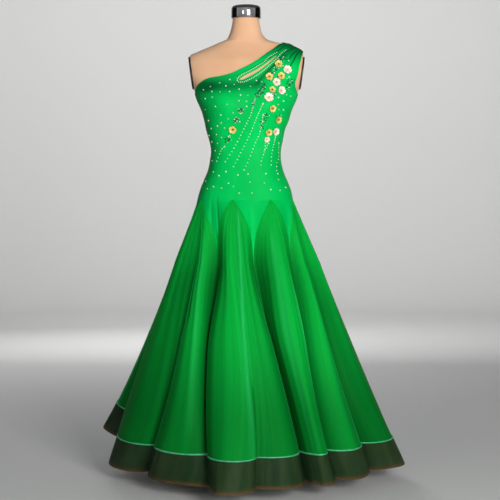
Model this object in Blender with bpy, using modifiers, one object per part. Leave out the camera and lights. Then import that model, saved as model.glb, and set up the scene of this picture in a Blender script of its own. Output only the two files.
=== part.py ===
"""Ballroom dance dress on a limbless dress form: one-shouldered stretch bodice that runs down in points
between eight flared godets, a corded hem with a stiff sheer band, and appliqued flowers.

Metres. Front is -Y and up is +Z. Angles go round the body in degrees: 0 is the front, + turns to +X.
The origin is the middle of the stand base's underside.
"""

import math

import bpy
import numpy as np

# Cloth and fitting sizes
CLOTH_WALL = 0.0018
BAND_WALL = 0.0014
SEAM_GAP = 0.00035
FORM_GAP = 0.0027
CORD_RADIUS = 0.0021
CORD_END_CLEAR = 0.0021
SQUARENESS = 0.045
SHARPEST_CORNER = 0.03

# Heights
ARMPIT_Z = 1.2166
HIP_Z = 0.884
THIGH_Z = 0.69
KNEE_Z = 0.40
GODET_HEM_Z = 0.1385
CORD_Z = 0.1361
BAND_TOP_Z = 0.1337
FLOOR_HEM_Z = 0.045
LIFT_HEIGHT = 0.085
LIFT_ANGLE = -116.0
LIFT_SPREAD = 16.0

# Godets: apexes on the hip line, and half the angle from one point of the bodice to the next
GODETS = 8
HALF_GODET = 22.5
APEX_HALF = 1.3
FIRST_POINT = -83.5
POINT_TIPS_Z = (0.69, 0.69, 0.65, 0.695, 0.69, 0.69, 0.69, 0.69)
SEAM_STEPS = (0.0, 0.13, 0.42, 1.0)
SKIRT_STEPS = (0.14, 0.3, 0.47, 0.65, 0.83, 1.0)
FOLD_STEPS = 3
THIGH_FLATNESS = 0.9

# Bust cups
CUP_HEIGHT = 0.015
CUP_ANGLE = 27.0
CUP_SPREAD = 17.0
CUP_Z = 1.185
CUP_TALL = 0.045

# Body sections: height, reach to -X, reach to +X, reach to the front, reach to the back
SECTIONS = (
    (0.884, 0.1575, 0.1490, 0.104, 0.125),
    (0.916, 0.1488, 0.1424, 0.099, 0.118),
    (0.948, 0.1360, 0.1296, 0.095, 0.111),
    (0.980, 0.1232, 0.1168, 0.092, 0.104),
    (1.012, 0.1168, 0.1104, 0.088, 0.097),
    (1.044, 0.1136, 0.1104, 0.086, 0.094),
    (1.076, 0.1200, 0.1168, 0.092, 0.094),
    (1.108, 0.1296, 0.1232, 0.102, 0.098),
    (1.140, 0.1360, 0.1360, 0.110, 0.103),
    (1.172, 0.1456, 0.1456, 0.114, 0.108),
    (1.204, 0.1600, 0.1600, 0.113, 0.110),
    (1.226, 0.1670, 0.1670, 0.111, 0.109),
    (1.250, 0.1765, 0.1765, 0.107, 0.106),
    (1.280, 0.1940, 0.1940, 0.099, 0.106),
    (1.310, 0.2000, 0.2000, 0.088, 0.102),
    (1.330, 0.1980, 0.1980, 0.080, 0.094),
    (1.348, 0.1840, 0.1860, 0.070, 0.084),
    (1.364, 0.1480, 0.1740, 0.062, 0.074),
    (1.375, 0.1220, 0.1520, 0.057, 0.066),
    (1.383, 0.1040, 0.1350, 0.054, 0.062),
    (1.388, 0.0940, 0.1070, 0.053, 0.060),
    (1.396, 0.0720, 0.0780, 0.052, 0.057),
    (1.412, 0.0590, 0.0560, 0.050, 0.054),
    (1.430, 0.0530, 0.0496, 0.048, 0.050),
    (1.463, 0.0464, 0.0432, 0.044, 0.046),
)

# Skirt folds, crest and valley in turn. Each row is a line down the skirt: its angle at the hip, then its
# angle and reach from the axis at the thigh, at the knee and at the floor hem.
FOLDS = (
    (-83.5, -83.5, 0.180, -93.0, 0.280, -103.0, 0.360),
    (-74.0, -70.0, 0.236, -78.0, 0.330, -90.0, 0.440),
    (-61.0, -49.0, 0.214, -44.0, 0.300, -64.0, 0.330),
    (-50.0, -40.0, 0.222, -31.0, 0.340, -38.0, 0.385),
    (-38.5, -29.5, 0.180, -25.0, 0.275, -15.5, 0.375),
    (-22.0, -13.0, 0.236, -4.0, 0.348, -8.0, 0.472),
    (-12.0, -4.0, 0.228, 3.0, 0.336, 4.0, 0.385),
    (-4.0, 0.5, 0.230, 9.0, 0.330, 16.0, 0.405),
    (6.5, 7.5, 0.165, 20.0, 0.262, 30.5, 0.335),
    (29.0, 28.0, 0.238, 28.5, 0.346, 36.0, 0.417),
    (51.5, 48.0, 0.190, 37.5, 0.292, 45.5, 0.350),
    (61.0, 54.5, 0.222, 46.0, 0.352, 57.0, 0.424),
    (71.0, 61.0, 0.212, 55.0, 0.322, 74.0, 0.390),
    (81.0, 78.0, 0.237, 75.0, 0.356, 88.0, 0.504),
    (96.5, 96.5, 0.182, 97.0, 0.285, 103.0, 0.375),
    (107.0, 106.0, 0.230, 106.0, 0.352, 113.0, 0.462),
    (118.0, 118.0, 0.214, 117.0, 0.325, 122.0, 0.400),
    (129.0, 130.0, 0.232, 128.0, 0.350, 130.0, 0.452),
    (141.5, 141.5, 0.180, 139.0, 0.285, 139.0, 0.362),
    (153.0, 153.0, 0.236, 151.0, 0.346, 150.0, 0.465),
    (164.0, 164.0, 0.216, 162.0, 0.330, 162.0, 0.392),
    (175.0, 175.0, 0.234, 174.0, 0.346, 173.0, 0.462),
    (186.5, 186.5, 0.178, 186.0, 0.280, 185.0, 0.362),
    (198.0, 198.0, 0.234, 197.0, 0.343, 196.0, 0.458),
    (209.0, 209.0, 0.216, 208.0, 0.332, 207.0, 0.398),
    (220.0, 220.0, 0.236, 219.0, 0.348, 218.0, 0.465),
    (231.5, 231.5, 0.180, 230.0, 0.280, 229.0, 0.368),
    (254.0, 254.0, 0.238, 248.0, 0.362, 245.0, 0.572),
)

# Front neckline, from the -X armpit up to the strap: angle and height
NECKLINE = (
    (-83.5, 1.2166),
    (-66.0, 1.2387),
    (-50.0, 1.2560),
    (-38.5, 1.2668),
    (-24.8, 1.2729),
    (-13.5, 1.2830),
    (-4.8, 1.2967),
    (3.9, 1.3122),
    (12.8, 1.3324),
    (24.2, 1.3560),
    (34.0, 1.3700),
    (48.0, 1.3800),
    (90.0, 1.3870),
)

# Front armhole edge, from the +X armpit up to the shoulder tip: angle and height
ARMHOLE = (
    (96.5, 1.2166),
    (70.0, 1.2270),
    (58.5, 1.2450),
    (54.5, 1.2650),
    (53.3, 1.2920),
    (54.0, 1.3120),
    (60.0, 1.3370),
    (90.0, 1.3630),
)
POINT_ROWS = 2
ABOVE_HIP_Z = 0.89
BODICE_LEVELS = (ABOVE_HIP_Z, 0.93, 0.972, 1.005, 1.04, 1.08, 1.125, 1.172, ARMPIT_Z)
STRAP_ROWS = 12
GATHERS_HEIGHT = 0.0016
GATHER_COLUMNS = 4

# Keyhole slit: its middle line in X and Z, and half its width at each of those points
SLIT = (
    (-0.0210, 1.2602, 0.0006),
    (-0.0150, 1.2630, 0.0034),
    (0.0020, 1.2722, 0.0047),
    (0.0250, 1.2845, 0.0041),
    (0.0480, 1.2995, 0.0032),
    (0.0740, 1.3200, 0.0024),
    (0.0930, 1.3370, 0.0014),
)
SLIT_FRONT_Y = -0.2
SLIT_BACK_Y = -0.02

# Appliqued flowers: name, X and Z of the middle, radius, and how far the underside stands off the curve
# that the flat facets of the bodice follow
FLOWERS = (
    ("flower_white_1", 0.1275, 1.2930, 0.0140, 0.0012),
    ("flower_white_2", 0.0930, 1.2520, 0.0130, 0.0012),
    ("flower_white_3", 0.1080, 1.2270, 0.0135, 0.0007),
    ("flower_white_4", 0.0690, 1.2030, 0.0150, 0.0003),
    ("flower_white_5", 0.0905, 1.1000, 0.0125, 0.0012),
    ("flower_white_6", 0.0630, 1.0750, 0.0095, 0.0012),
    ("flower_gold_1", 0.1000, 1.3100, 0.0125, 0.0012),
    ("flower_gold_2", 0.0710, 1.2690, 0.0125, 0.0012),
    ("flower_gold_3", 0.1080, 1.2730, 0.0120, 0.0012),
    ("flower_gold_4", 0.0795, 1.2275, 0.0105, 0.0006),
    ("flower_gold_5", 0.0800, 1.1700, 0.0118, 0.0006),
    ("flower_gold_6", 0.0985, 1.1370, 0.0118, 0.0005),
    ("flower_gold_7", 0.0690, 1.0975, 0.0115, 0.0012),
    ("flower_gold_8", -0.0425, 1.1050, 0.0125, 0.0007),
)
PETALS = 5
FLOWER_RIM = 0.0014
FLOWER_CROWN = 0.0034

# Dress form and stand
FORM_FOOT_Z = 0.80
FORM_FOOT_SCALE = 0.94
FORM_BACK_SCALE = 0.975
FORM_COLUMNS = 32
ARM_CUT_X = 0.165
ARM_CUT_Z = 1.226
ARM_CUT_SLOPE = 0.131
PLATE_DEEP = 0.042
PLATE_TALL = 0.053
PLATE_THICK = 0.006
PLATE_Z = 1.290
PLATE_Y = 0.004
NECK_TOP_Z = 1.463
CAP_RADIUS = 0.0475
CAP_HEIGHT = 0.042
CAP_X = -0.0015
POLE_RADIUS = 0.016
BASE_RADIUS = 0.17
BASE_HEIGHT = 0.018


def smooth_through(places, values, at):
    """Value of the smooth curve through the given values, at each place asked for."""
    places = np.asarray(places, float)
    values = np.asarray(values, float)
    slopes = np.gradient(values, places)
    at = np.clip(at, places[0], places[-1])
    i = np.clip(np.searchsorted(places, at, side="right") - 1, 0, len(places) - 2)
    step = places[i + 1] - places[i]
    s = (at - places[i]) / step
    rise = s * s * (3 - 2 * s)
    leave = s * (1 - s) ** 2 * step * slopes[i]
    arrive = s * s * (s - 1) * step * slopes[i + 1]
    return values[i] * (1 - rise) + values[i + 1] * rise + leave + arrive


def body(angle, z, cups=True):
    """Points of the body surface, a stack of squared half ellipses, with the bust cups raised on it."""
    heights, left, right, front, back = np.array(SECTIONS).T
    s = np.sin(np.radians(angle))
    c = np.cos(np.radians(angle))
    half = np.where(s < 0, smooth_through(heights, left, z), smooth_through(heights, right, z))
    deep = np.where(c > 0, smooth_through(heights, front, z), smooth_through(heights, back, z))
    square = 1 + SQUARENESS * (2 * s * c) ** 2
    out = 0.0
    if cups:
        turn = (np.asarray(angle) + 180) % 360 - 180
        sides = np.exp(-(((np.abs(turn) - CUP_ANGLE) / CUP_SPREAD) ** 2))
        out = CUP_HEIGHT * sides * np.exp(-(((z - CUP_Z) / CUP_TALL) ** 2))
    return np.stack([half * s * square, -(deep * c * square + out), z + 0 * s], axis=-1)


def hem_lift(angle):
    """How far the hem is carried up at an angle, where the back lobe swings out."""
    turn = (np.asarray(angle) - LIFT_ANGLE + 180) % 360 - 180
    return LIFT_HEIGHT * np.exp(-((turn / LIFT_SPREAD) ** 2))


def skirt(angle, z):
    """Points of the folded skirt. Between two fold lines the reach follows half a cosine wave."""
    lines = np.array(FOLDS)
    lines = np.vstack([lines, lines[0] + [360, 360, 0, 360, 0, 360, 0]])
    start = lines[0, 0]
    angle = (np.asarray(angle, float) - start) % 360 + start
    i = np.clip(np.searchsorted(lines[:, 0], angle, side="right") - 1, 0, len(FOLDS) - 1)
    u = (angle - lines[i, 0]) / (lines[i + 1, 0] - lines[i, 0])
    wave = (1 - np.cos(math.pi * u)) / 2
    turns = [lines[i, k] * (1 - u) + lines[i + 1, k] * u for k in (1, 3, 5)]
    reaches = [lines[i, k] * (1 - wave) + lines[i + 1, k] * wave for k in (2, 4, 6)]
    low = np.minimum(z, THIGH_Z)
    to_thigh = (low - KNEE_Z) * (low - FLOOR_HEM_Z) / ((THIGH_Z - KNEE_Z) * (THIGH_Z - FLOOR_HEM_Z))
    to_knee = (low - THIGH_Z) * (low - FLOOR_HEM_Z) / ((KNEE_Z - THIGH_Z) * (KNEE_Z - FLOOR_HEM_Z))
    to_hem = 1 - to_thigh - to_knee
    turn = np.radians(turns[0] * to_thigh + turns[1] * to_knee + turns[2] * to_hem)
    reach = reaches[0] * to_thigh + reaches[1] * to_knee + reaches[2] * to_hem
    high = np.clip((low - KNEE_Z) / (THIGH_Z - KNEE_Z), 0, 1)
    flat = 1 - (1 - THIGH_FLATNESS) * high * high * (3 - 2 * high)
    return np.stack([reach * np.sin(turn), -reach * np.cos(turn) * flat, z + 0 * reach], axis=-1)


def dress(angle, z):
    """Points of the dress surface: the body above the hip, the skirt below the thigh, a blend between."""
    angle, z = np.broadcast_arrays(np.asarray(angle, float), np.asarray(z, float))
    drop = np.clip((HIP_Z - z) / (HIP_Z - THIGH_Z), 0, 1)[..., None]
    points = body(angle, np.maximum(z, HIP_Z)) * (1 - drop) + skirt(angle, z) * drop
    points[..., 2] = z
    return points


def outward(angle, z):
    """Unit normals of the dress surface, from its slopes round the body and up it."""
    around = dress(np.add(angle, 0.2), z) - dress(np.subtract(angle, 0.2), z)
    up = dress(angle, np.add(z, 0.001)) - dress(angle, np.subtract(z, 0.001))
    normal = np.cross(around, up)
    return normal / np.linalg.norm(normal, axis=-1, keepdims=True)


def material(name, colour, roughness, metallic=0.0):
    made = bpy.data.materials.new(name)
    made.use_nodes = True
    shader = made.node_tree.nodes["Principled BSDF"]
    shader.inputs["Base Color"].default_value = (*colour, 1)
    shader.inputs["Roughness"].default_value = roughness
    shader.inputs["Metallic"].default_value = metallic
    return made


def collection(name):
    made = bpy.data.collections.new(name)
    bpy.context.scene.collection.children.link(made)
    return made


def add_mesh(name, points, faces, finish, into):
    mesh = bpy.data.meshes.new(name)
    mesh.from_pydata([tuple(p) for p in points], [], faces)
    mesh.update()
    mesh.shade_smooth()
    mesh.set_sharp_from_angle(angle=math.radians(50))
    made = bpy.data.objects.new(name, mesh)
    made.data.materials.append(finish)
    into.objects.link(made)
    return made


def grid_faces(rows, columns):
    """Faces of a grid of points whose rows go up and whose columns turn to +X, seen from outside."""
    faces = []
    for r in range(rows - 1):
        for c in range(columns - 1):
            a = r * columns + c
            faces.append((a, a + 1, a + columns + 1, a + columns))
    return faces


def drawn_in(points, normal):
    """The grid with its edges moved inward in the cloth, square to each edge, by half a seam gap."""
    ways = []
    for edge, sign in ((np.s_[:, 0], -1), (np.s_[:, -1], 1), (np.s_[0], 1), (np.s_[-1], -1)):
        way = sign * np.cross(normal[edge], np.gradient(points[edge], axis=0))
        ways.append(way / np.linalg.norm(way, axis=-1, keepdims=True))
    left, right, low, high = ways
    move = np.zeros_like(points)
    move[:, 0], move[:, -1], move[0], move[-1] = left, right, low, high
    for row, column, one, other in (
        (0, 0, left[0], low[0]),
        (0, -1, right[0], low[-1]),
        (-1, 0, left[-1], high[0]),
        (-1, -1, right[-1], high[-1]),
    ):
        # A corner moves to where its two edges meet again, which is further in a sharp one.
        move[row, column] = (one + other) / max(1 + one @ other, SHARPEST_CORNER)
    return points + move * SEAM_GAP / 2


def wall(name, angle, z, thick, finish, into, raised=0.0):
    """A closed cloth wall: an outer and an inner grid of points, joined round their rim."""
    rows, columns = angle.shape
    normal = outward(angle, z)
    skin = drawn_in(dress(angle, z), normal)
    outer = skin + normal * np.broadcast_to(raised, angle.shape)[..., None]
    inner = skin - normal * thick
    points = np.concatenate([outer.reshape(-1, 3), inner.reshape(-1, 3)])
    count = rows * columns
    # Both sides are split along the same diagonals, so that the wall keeps its thickness where it twists.
    faces = []
    for a, b, c, d in grid_faces(rows, columns):
        faces += [(a, b, c), (a, c, d)]
        faces += [(c + count, b + count, a + count), (d + count, c + count, a + count)]
    ring = [(0, c) for c in range(columns)]
    ring += [(r, columns - 1) for r in range(1, rows)]
    ring += [(rows - 1, c) for c in range(columns - 2, -1, -1)]
    ring += [(r, 0) for r in range(rows - 2, 0, -1)]
    rim = [r * columns + c for r, c in ring]
    for k, a in enumerate(rim):
        b = rim[(k + 1) % len(rim)]
        # Both sides of a seam are split from the lower outer point, so that their faces lie alike.
        if points[a, 2] <= points[b, 2]:
            faces += [(b, a, b + count), (a, a + count, b + count)]
        else:
            faces += [(b, a, a + count), (b, a + count, b + count)]
    return add_mesh(name, points, faces, finish, into)


def seam(point, side):
    """Angles and heights of a godet seam, from the hip apex down to the tip of a bodice point."""
    s = np.array(SEAM_STEPS)
    spread = APEX_HALF + (HALF_GODET - APEX_HALF) * (1 - (1 - s) ** 3)
    middle = FIRST_POINT + 2 * HALF_GODET * point
    tip = POINT_TIPS_Z[point % GODETS]
    return middle + side * (HALF_GODET - spread), HIP_Z + (tip - HIP_Z) * s


def seam_below(point):
    """Angle and heights of the seam between two godets, from the bodice point's tip to the hem."""
    middle = FIRST_POINT + 2 * HALF_GODET * point
    tip = POINT_TIPS_Z[point % GODETS]
    hem = GODET_HEM_Z + hem_lift(fold_turn(middle))
    return middle, tip + (hem - tip) * np.array(SKIRT_STEPS)


def fold_turn(angle):
    """Angle that a line of the skirt has turned to at the hem."""
    point = skirt(angle, np.full(np.shape(angle), GODET_HEM_Z))
    return np.degrees(np.arctan2(point[..., 0], -point[..., 1]))


def godet_columns(godet):
    """Angles at the hip of one godet's columns, a few steps from each fold line to the next."""
    lines = np.array([row[0] for row in FOLDS] + [FOLDS[0][0] + 360])
    low = FIRST_POINT + 2 * HALF_GODET * godet
    own = lines[(lines > low - 0.01) & (lines < low + 2 * HALF_GODET + 0.01)]
    parts = []
    for a, b in zip(own[:-1], own[1:]):
        steps = FOLD_STEPS if b - a < 15 else FOLD_STEPS + 2
        parts.append(np.linspace(a, b, steps, endpoint=False))
    return np.concatenate(parts + [own[-1:]])


def make_godet(godet, finish, into):
    left_angle, left_z = seam(godet, 1)
    right_angle, right_z = seam(godet + 1, -1)
    low_left, low_left_z = seam_below(godet)
    low_right, low_right_z = seam_below(godet + 1)
    below = np.ones(len(SKIRT_STEPS))
    left_angle = np.concatenate([left_angle, low_left * below])[::-1, None]
    right_angle = np.concatenate([right_angle, low_right * below])[::-1, None]
    left_z = np.concatenate([left_z, low_left_z])[::-1, None]
    right_z = np.concatenate([right_z, low_right_z])[::-1, None]
    columns = godet_columns(godet)
    u = (columns - columns[0]) / (columns[-1] - columns[0])
    angle = left_angle + (right_angle - left_angle) * u
    z = left_z + (right_z - left_z) * u
    hem = GODET_HEM_Z + hem_lift(fold_turn(columns))
    sunk = np.concatenate([np.zeros(len(SEAM_STEPS)), SKIRT_STEPS])[::-1, None]
    z = z + (hem - z[0]) * sunk**2
    wall(f"godet_{godet + 1}", angle, z, CLOTH_WALL, finish, into)


def make_band(godet, finish, into):
    columns = godet_columns(godet)
    lift = hem_lift(fold_turn(columns))
    levels = np.array([[FLOOR_HEM_Z], [BAND_TOP_Z]])
    angle = np.broadcast_to(columns, (len(levels), len(columns)))
    wall(f"hem_band_{godet + 1}", angle, levels + lift, BAND_WALL, finish, into)


def make_cord(godet, finish, into):
    """A rolled hem cord: a bevelled curve along the godet's lower edge, short of the cords beside it."""
    columns = godet_columns(godet)
    z = CORD_Z + hem_lift(fold_turn(columns))
    route = dress(columns, z) - outward(columns, z) * CLOTH_WALL / 2
    for end, inner in ((0, 1), (-1, -2)):
        way = route[inner] - route[end]
        route[end] += way / np.linalg.norm(way) * CORD_END_CLEAR
    curve = bpy.data.curves.new(f"hem_cord_{godet + 1}", "CURVE")
    curve.dimensions = "3D"
    curve.bevel_depth = CORD_RADIUS
    curve.bevel_resolution = 1
    curve.use_fill_caps = True
    spline = curve.splines.new("POLY")
    spline.points.add(len(route) - 1)
    for knot, place in zip(spline.points, route):
        knot.co = (*place, 1)
    made = bpy.data.objects.new(curve.name, curve)
    made.data.materials.append(finish)
    into.objects.link(made)


def bodice_columns():
    """Angles of the bodice's columns round the body, at the steps of the godet seams."""
    angles = []
    for point in range(GODETS + 1):
        before = seam(point, -1)[0]
        after = seam(point, 1)[0][::-1]
        angles += list(before) + list(after[1:])
    return np.array(angles)


def bodice_low_edge(angles):
    """Height of the bodice's lower edge at each of its columns."""
    edge = []
    for point in range(GODETS + 1):
        before = seam(point, -1)[1]
        edge += list(before) + list(before[::-1][1:])
    known = bodice_columns()
    return np.interp(angles, known, edge)


def lower_rows(angles):
    """Angle and height grids of a bodice panel from its lower edge to the armpit."""
    edge = bodice_low_edge(angles)
    rows = [edge + (ABOVE_HIP_Z - edge) * row / POINT_ROWS for row in range(POINT_ROWS)]
    rows += [np.full(len(angles), level) for level in BODICE_LEVELS]
    return np.tile(angles, (len(rows), 1)), np.array(rows)


def along(table, parts):
    """Angle and height at each part, 0 to 1, of the way along an edge given by a table of points."""
    angle, z = np.array(table).T
    place = dress(angle, z)
    run = np.concatenate([[0], np.cumsum(np.linalg.norm(np.diff(place, axis=0), axis=1))])
    run /= run[-1]
    return np.interp(parts, run, angle), np.interp(parts, run, z)


def upper_rows(angles, neck, arm):
    """Angle and height grids between the neckline edge and the armhole edge, up to the shoulder seam."""
    even_parts = np.linspace(0, 1, STRAP_ROWS + 1)[1:]
    parts = (even_parts + even_parts**2 * (3 - 2 * even_parts)) / 2
    neck_angle, neck_z = along(neck, parts)
    arm_angle, arm_z = along(arm, parts)
    spread = (angles - angles[0]) / (angles[-1] - angles[0])
    even = np.linspace(0, 1, len(angles))
    across = spread + (even - spread) * parts[:, None]
    angle = neck_angle[:, None] + (arm_angle - neck_angle)[:, None] * across
    z = neck_z[:, None] + (arm_z - neck_z)[:, None] * across
    return angle, z


def make_bodice_front(finish, into, helpers):
    known = bodice_columns()
    side = FIRST_POINT + 180
    angles = known[(known > FIRST_POINT - 0.01) & (known < side + 0.01)]
    low_angle, low_z = lower_rows(angles)
    top_angle, top_z = upper_rows(angles, NECKLINE, ARMHOLE)
    angle = np.vstack([low_angle, top_angle])
    z = np.vstack([low_z, top_z])
    ripple = (1 - np.cos(2 * math.pi * np.arange(len(angles)) / GATHER_COLUMNS)) / 2
    near_strap = np.zeros(len(angle))
    near_strap[-STRAP_ROWS:] = np.linspace(0, 1, STRAP_ROWS) ** 2
    raised = GATHERS_HEIGHT * near_strap[:, None] * ripple
    panel = wall("bodice_front", angle, z, CLOTH_WALL, finish, into, raised)
    cut = panel.modifiers.new("keyhole slit", "BOOLEAN")
    cut.operation = "DIFFERENCE"
    cut.object = make_slit_cutter(finish, helpers)


def make_slit_cutter(finish, helpers):
    """A long leaf-shaped prism, wider at its lower end, that reaches through the front panel alone."""
    x, z, half = np.array(SLIT).T
    way = np.stack([np.gradient(x), np.gradient(z)], axis=1)
    way /= np.linalg.norm(way, axis=1, keepdims=True)
    upper = np.stack([x - way[:, 1] * half, z + way[:, 0] * half], axis=1)
    lower = np.stack([x + way[:, 1] * half, z - way[:, 0] * half], axis=1)
    outline = np.concatenate([lower, upper[::-1]])
    count = len(outline)
    near = [(a, SLIT_FRONT_Y, b) for a, b in outline]
    far = [(a, SLIT_BACK_Y, b) for a, b in outline]
    faces = [tuple(range(count)), tuple(range(2 * count - 1, count - 1, -1))]
    for k in range(count):
        after = (k + 1) % count
        faces.append((k, k + count, after + count, after))
    cutter = add_mesh("slit_cutter", near + far, faces, finish, helpers)
    cutter.hide_render = True
    cutter.display_type = "WIRE"
    return cutter


def make_bodice_back(finish, into):
    """The back repeats the front's edges on the other side of the side seams, with no cups or gathers."""
    known = bodice_columns()
    side = FIRST_POINT + 180
    angles = known[(known > side - 0.01) & (known < side + 180.01)]
    low_angle, low_z = lower_rows(angles)
    arm = [(180 - a if k else side, z) for k, (a, z) in enumerate(ARMHOLE)]
    neck = [(180 - a if k else side + 180, z) for k, (a, z) in enumerate(NECKLINE)]
    top_angle, top_z = upper_rows(angles[::-1], neck, arm)
    angle = np.vstack([low_angle, top_angle[:, ::-1]])
    z = np.vstack([low_z, top_z[:, ::-1]])
    wall("bodice_back", angle, z, CLOTH_WALL, finish, into)


def angle_at(x, z):
    """Angle at which the front of the body surface has a given X, found by halving."""
    low = np.full(np.shape(x), -89.0)
    high = np.full(np.shape(x), 89.0)
    for _ in range(30):
        middle = (low + high) / 2
        less = body(middle, z)[..., 0] < x
        low = np.where(less, middle, low)
        high = np.where(less, high, middle)
    return (low + high) / 2


def make_flower(name, x, z, radius, clear, finish, into):
    """A domed flower with notched petals, whose underside follows the bodice a little way out."""
    around = np.radians(np.arange(0, 360, 360 / (3 * PETALS)))
    notch = 0.86 + 0.14 * np.cos(PETALS * around)
    shares = np.array([0.0, 0.5, 1.0])
    ring_x = x + radius * shares[:, None] * notch * np.cos(around)
    ring_z = z + radius * shares[:, None] * notch * np.sin(around)
    angle = angle_at(ring_x, ring_z)
    skin = dress(angle, ring_z)
    normal = outward(angle, ring_z)
    heights = np.array([FLOWER_RIM, FLOWER_CROWN, FLOWER_RIM])[:, None, None] + clear
    top = skin + normal * heights
    base = skin + normal * clear
    count = len(around)
    points = [top[0, 0], *top[1], *top[2], base[0, 0], *base[1], *base[2]]
    under = 1 + 2 * count
    faces = []
    for k in range(count):
        after = (k + 1) % count
        faces.append((0, 1 + k, 1 + after))
        faces.append((1 + k, 1 + count + k, 1 + count + after, 1 + after))
        faces.append((under, under + 1 + after, under + 1 + k))
        faces.append((under + 1 + k, under + 1 + after, under + 1 + count + after, under + 1 + count + k))
        faces.append((1 + count + k, under + 1 + count + k, under + 1 + count + after, 1 + count + after))
    add_mesh(name, points, faces, finish, into)


def make_torso(finish, into):
    """The dress form: the body surface drawn in under the cloth, cut flat where the arms would be."""
    heights = [row[0] for row in SECTIONS]
    heights = [FORM_FOOT_Z, (FORM_FOOT_Z + HIP_Z) / 2] + heights
    heights[-1] = NECK_TOP_Z
    z = np.array(heights)[:, None]
    angle = np.linspace(0, 360, FORM_COLUMNS, endpoint=False)[None, :]
    on_body = np.maximum(z, HIP_Z)
    around = body(angle + 0.2, on_body, False) - body(angle - 0.2, on_body, False)
    up = body(angle, on_body + 0.001, False) - body(angle, np.maximum(on_body - 0.001, HIP_Z), False)
    normal = np.cross(around, up)
    normal /= np.linalg.norm(normal, axis=-1, keepdims=True)
    points = body(angle, on_body, False) - normal * (CLOTH_WALL + FORM_GAP)
    shrink = 1 - (1 - FORM_FOOT_SCALE) * np.clip((HIP_Z - z) / (HIP_Z - FORM_FOOT_Z), 0, 1)
    points[..., 0] *= shrink
    points[..., 1] *= shrink * np.where(points[..., 1] > 0, FORM_BACK_SCALE, 1)
    level = (z <= HIP_Z) | (z >= NECK_TOP_Z)
    points[..., 2] = np.where(level, z, points[..., 2])
    cut = ARM_CUT_X + (points[..., 2] - ARM_CUT_Z) * ARM_CUT_SLOPE
    shoulder = points[..., 2] > ARM_CUT_Z
    points[..., 0] = np.where(shoulder, np.clip(points[..., 0], -cut, cut), points[..., 0])
    rows = len(heights)
    count = FORM_COLUMNS
    faces = []
    for r in range(rows - 1):
        for c in range(count):
            after = (c + 1) % count
            faces.append((r * count + c, r * count + after, (r + 1) * count + after, (r + 1) * count + c))
    faces.append(tuple(range(count - 1, -1, -1)))
    faces.append(tuple(range((rows - 1) * count, rows * count)))
    add_mesh("form_torso", points.reshape(-1, 3), faces, finish, into)


def turned(name, profile, finish, into, steps=28):
    """A turned solid: a profile down its outer side at +X, from axis to axis, and a Screw modifier."""
    mesh = bpy.data.meshes.new(name)
    mesh.from_pydata([(r, 0, z) for r, z in profile], [(k, k + 1) for k in range(len(profile) - 1)], [])
    made = bpy.data.objects.new(name, mesh)
    made.data.materials.append(finish)
    into.objects.link(made)
    screw = made.modifiers.new("turn", "SCREW")
    screw.steps = steps
    screw.render_steps = steps
    screw.use_merge_vertices = True
    screw.merge_threshold = 0.00005
    return made


def make_arm_plate(name, side, finish, into):
    """An oval plate on the flat cut of the shoulder, tilted as the cut is."""
    bpy.ops.mesh.primitive_cylinder_add(vertices=24, radius=1, depth=1)
    plate = bpy.context.object
    plate.name = name
    plate.data.name = name
    plate.scale = (PLATE_TALL, PLATE_DEEP, PLATE_THICK)
    bpy.ops.object.transform_apply(location=False, rotation=False, scale=True)
    tilt = math.atan(ARM_CUT_SLOPE)
    face = ARM_CUT_X + (PLATE_Z - ARM_CUT_Z) * ARM_CUT_SLOPE
    stand_off = (SEAM_GAP + PLATE_THICK / 2) / math.cos(tilt)
    plate.location = (side * (face + stand_off), PLATE_Y, PLATE_Z)
    plate.rotation_euler = (0, side * (math.pi / 2 + tilt), 0)
    soft = plate.modifiers.new("soft edge", "BEVEL")
    soft.width = PLATE_THICK / 4
    soft.segments = 1
    plate.data.materials.append(finish)
    for owner in list(plate.users_collection):
        owner.objects.unlink(plate)
    into.objects.link(plate)


def make_stand(skin, chrome, dark, into):
    """Torso, neck cap, arm plates, pole and base."""
    make_torso(skin, into)
    dome = [(0, CAP_HEIGHT)]
    for share in np.linspace(1 / 3, 1, 3):
        bend = math.pi / 2 * share
        dome.append((CAP_RADIUS - 0.012 + 0.012 * math.sin(bend), CAP_HEIGHT - 0.012 + 0.012 * math.cos(bend)))
    dome += [(CAP_RADIUS, 0.003), (CAP_RADIUS - 0.003, 0), (0, 0)]
    cap = turned("form_neck_cap", dome, chrome, into)
    cap.location = (CAP_X, 0, NECK_TOP_Z + SEAM_GAP)
    make_arm_plate("form_arm_plate_left", -1, dark, into)
    make_arm_plate("form_arm_plate_right", 1, dark, into)
    pole_foot = BASE_HEIGHT + SEAM_GAP
    pole_top = FORM_FOOT_Z - SEAM_GAP
    pole = [(0, pole_top), (POLE_RADIUS, pole_top), (POLE_RADIUS, pole_foot), (0, pole_foot)]
    turned("stand_pole", pole, chrome, into, 24)
    edge = 0.004
    base = [(0, BASE_HEIGHT), (BASE_RADIUS - edge, BASE_HEIGHT), (BASE_RADIUS, BASE_HEIGHT - edge)]
    base += [(BASE_RADIUS, 0), (0, 0)]
    turned("stand_base", base, chrome, into, 40)


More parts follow.
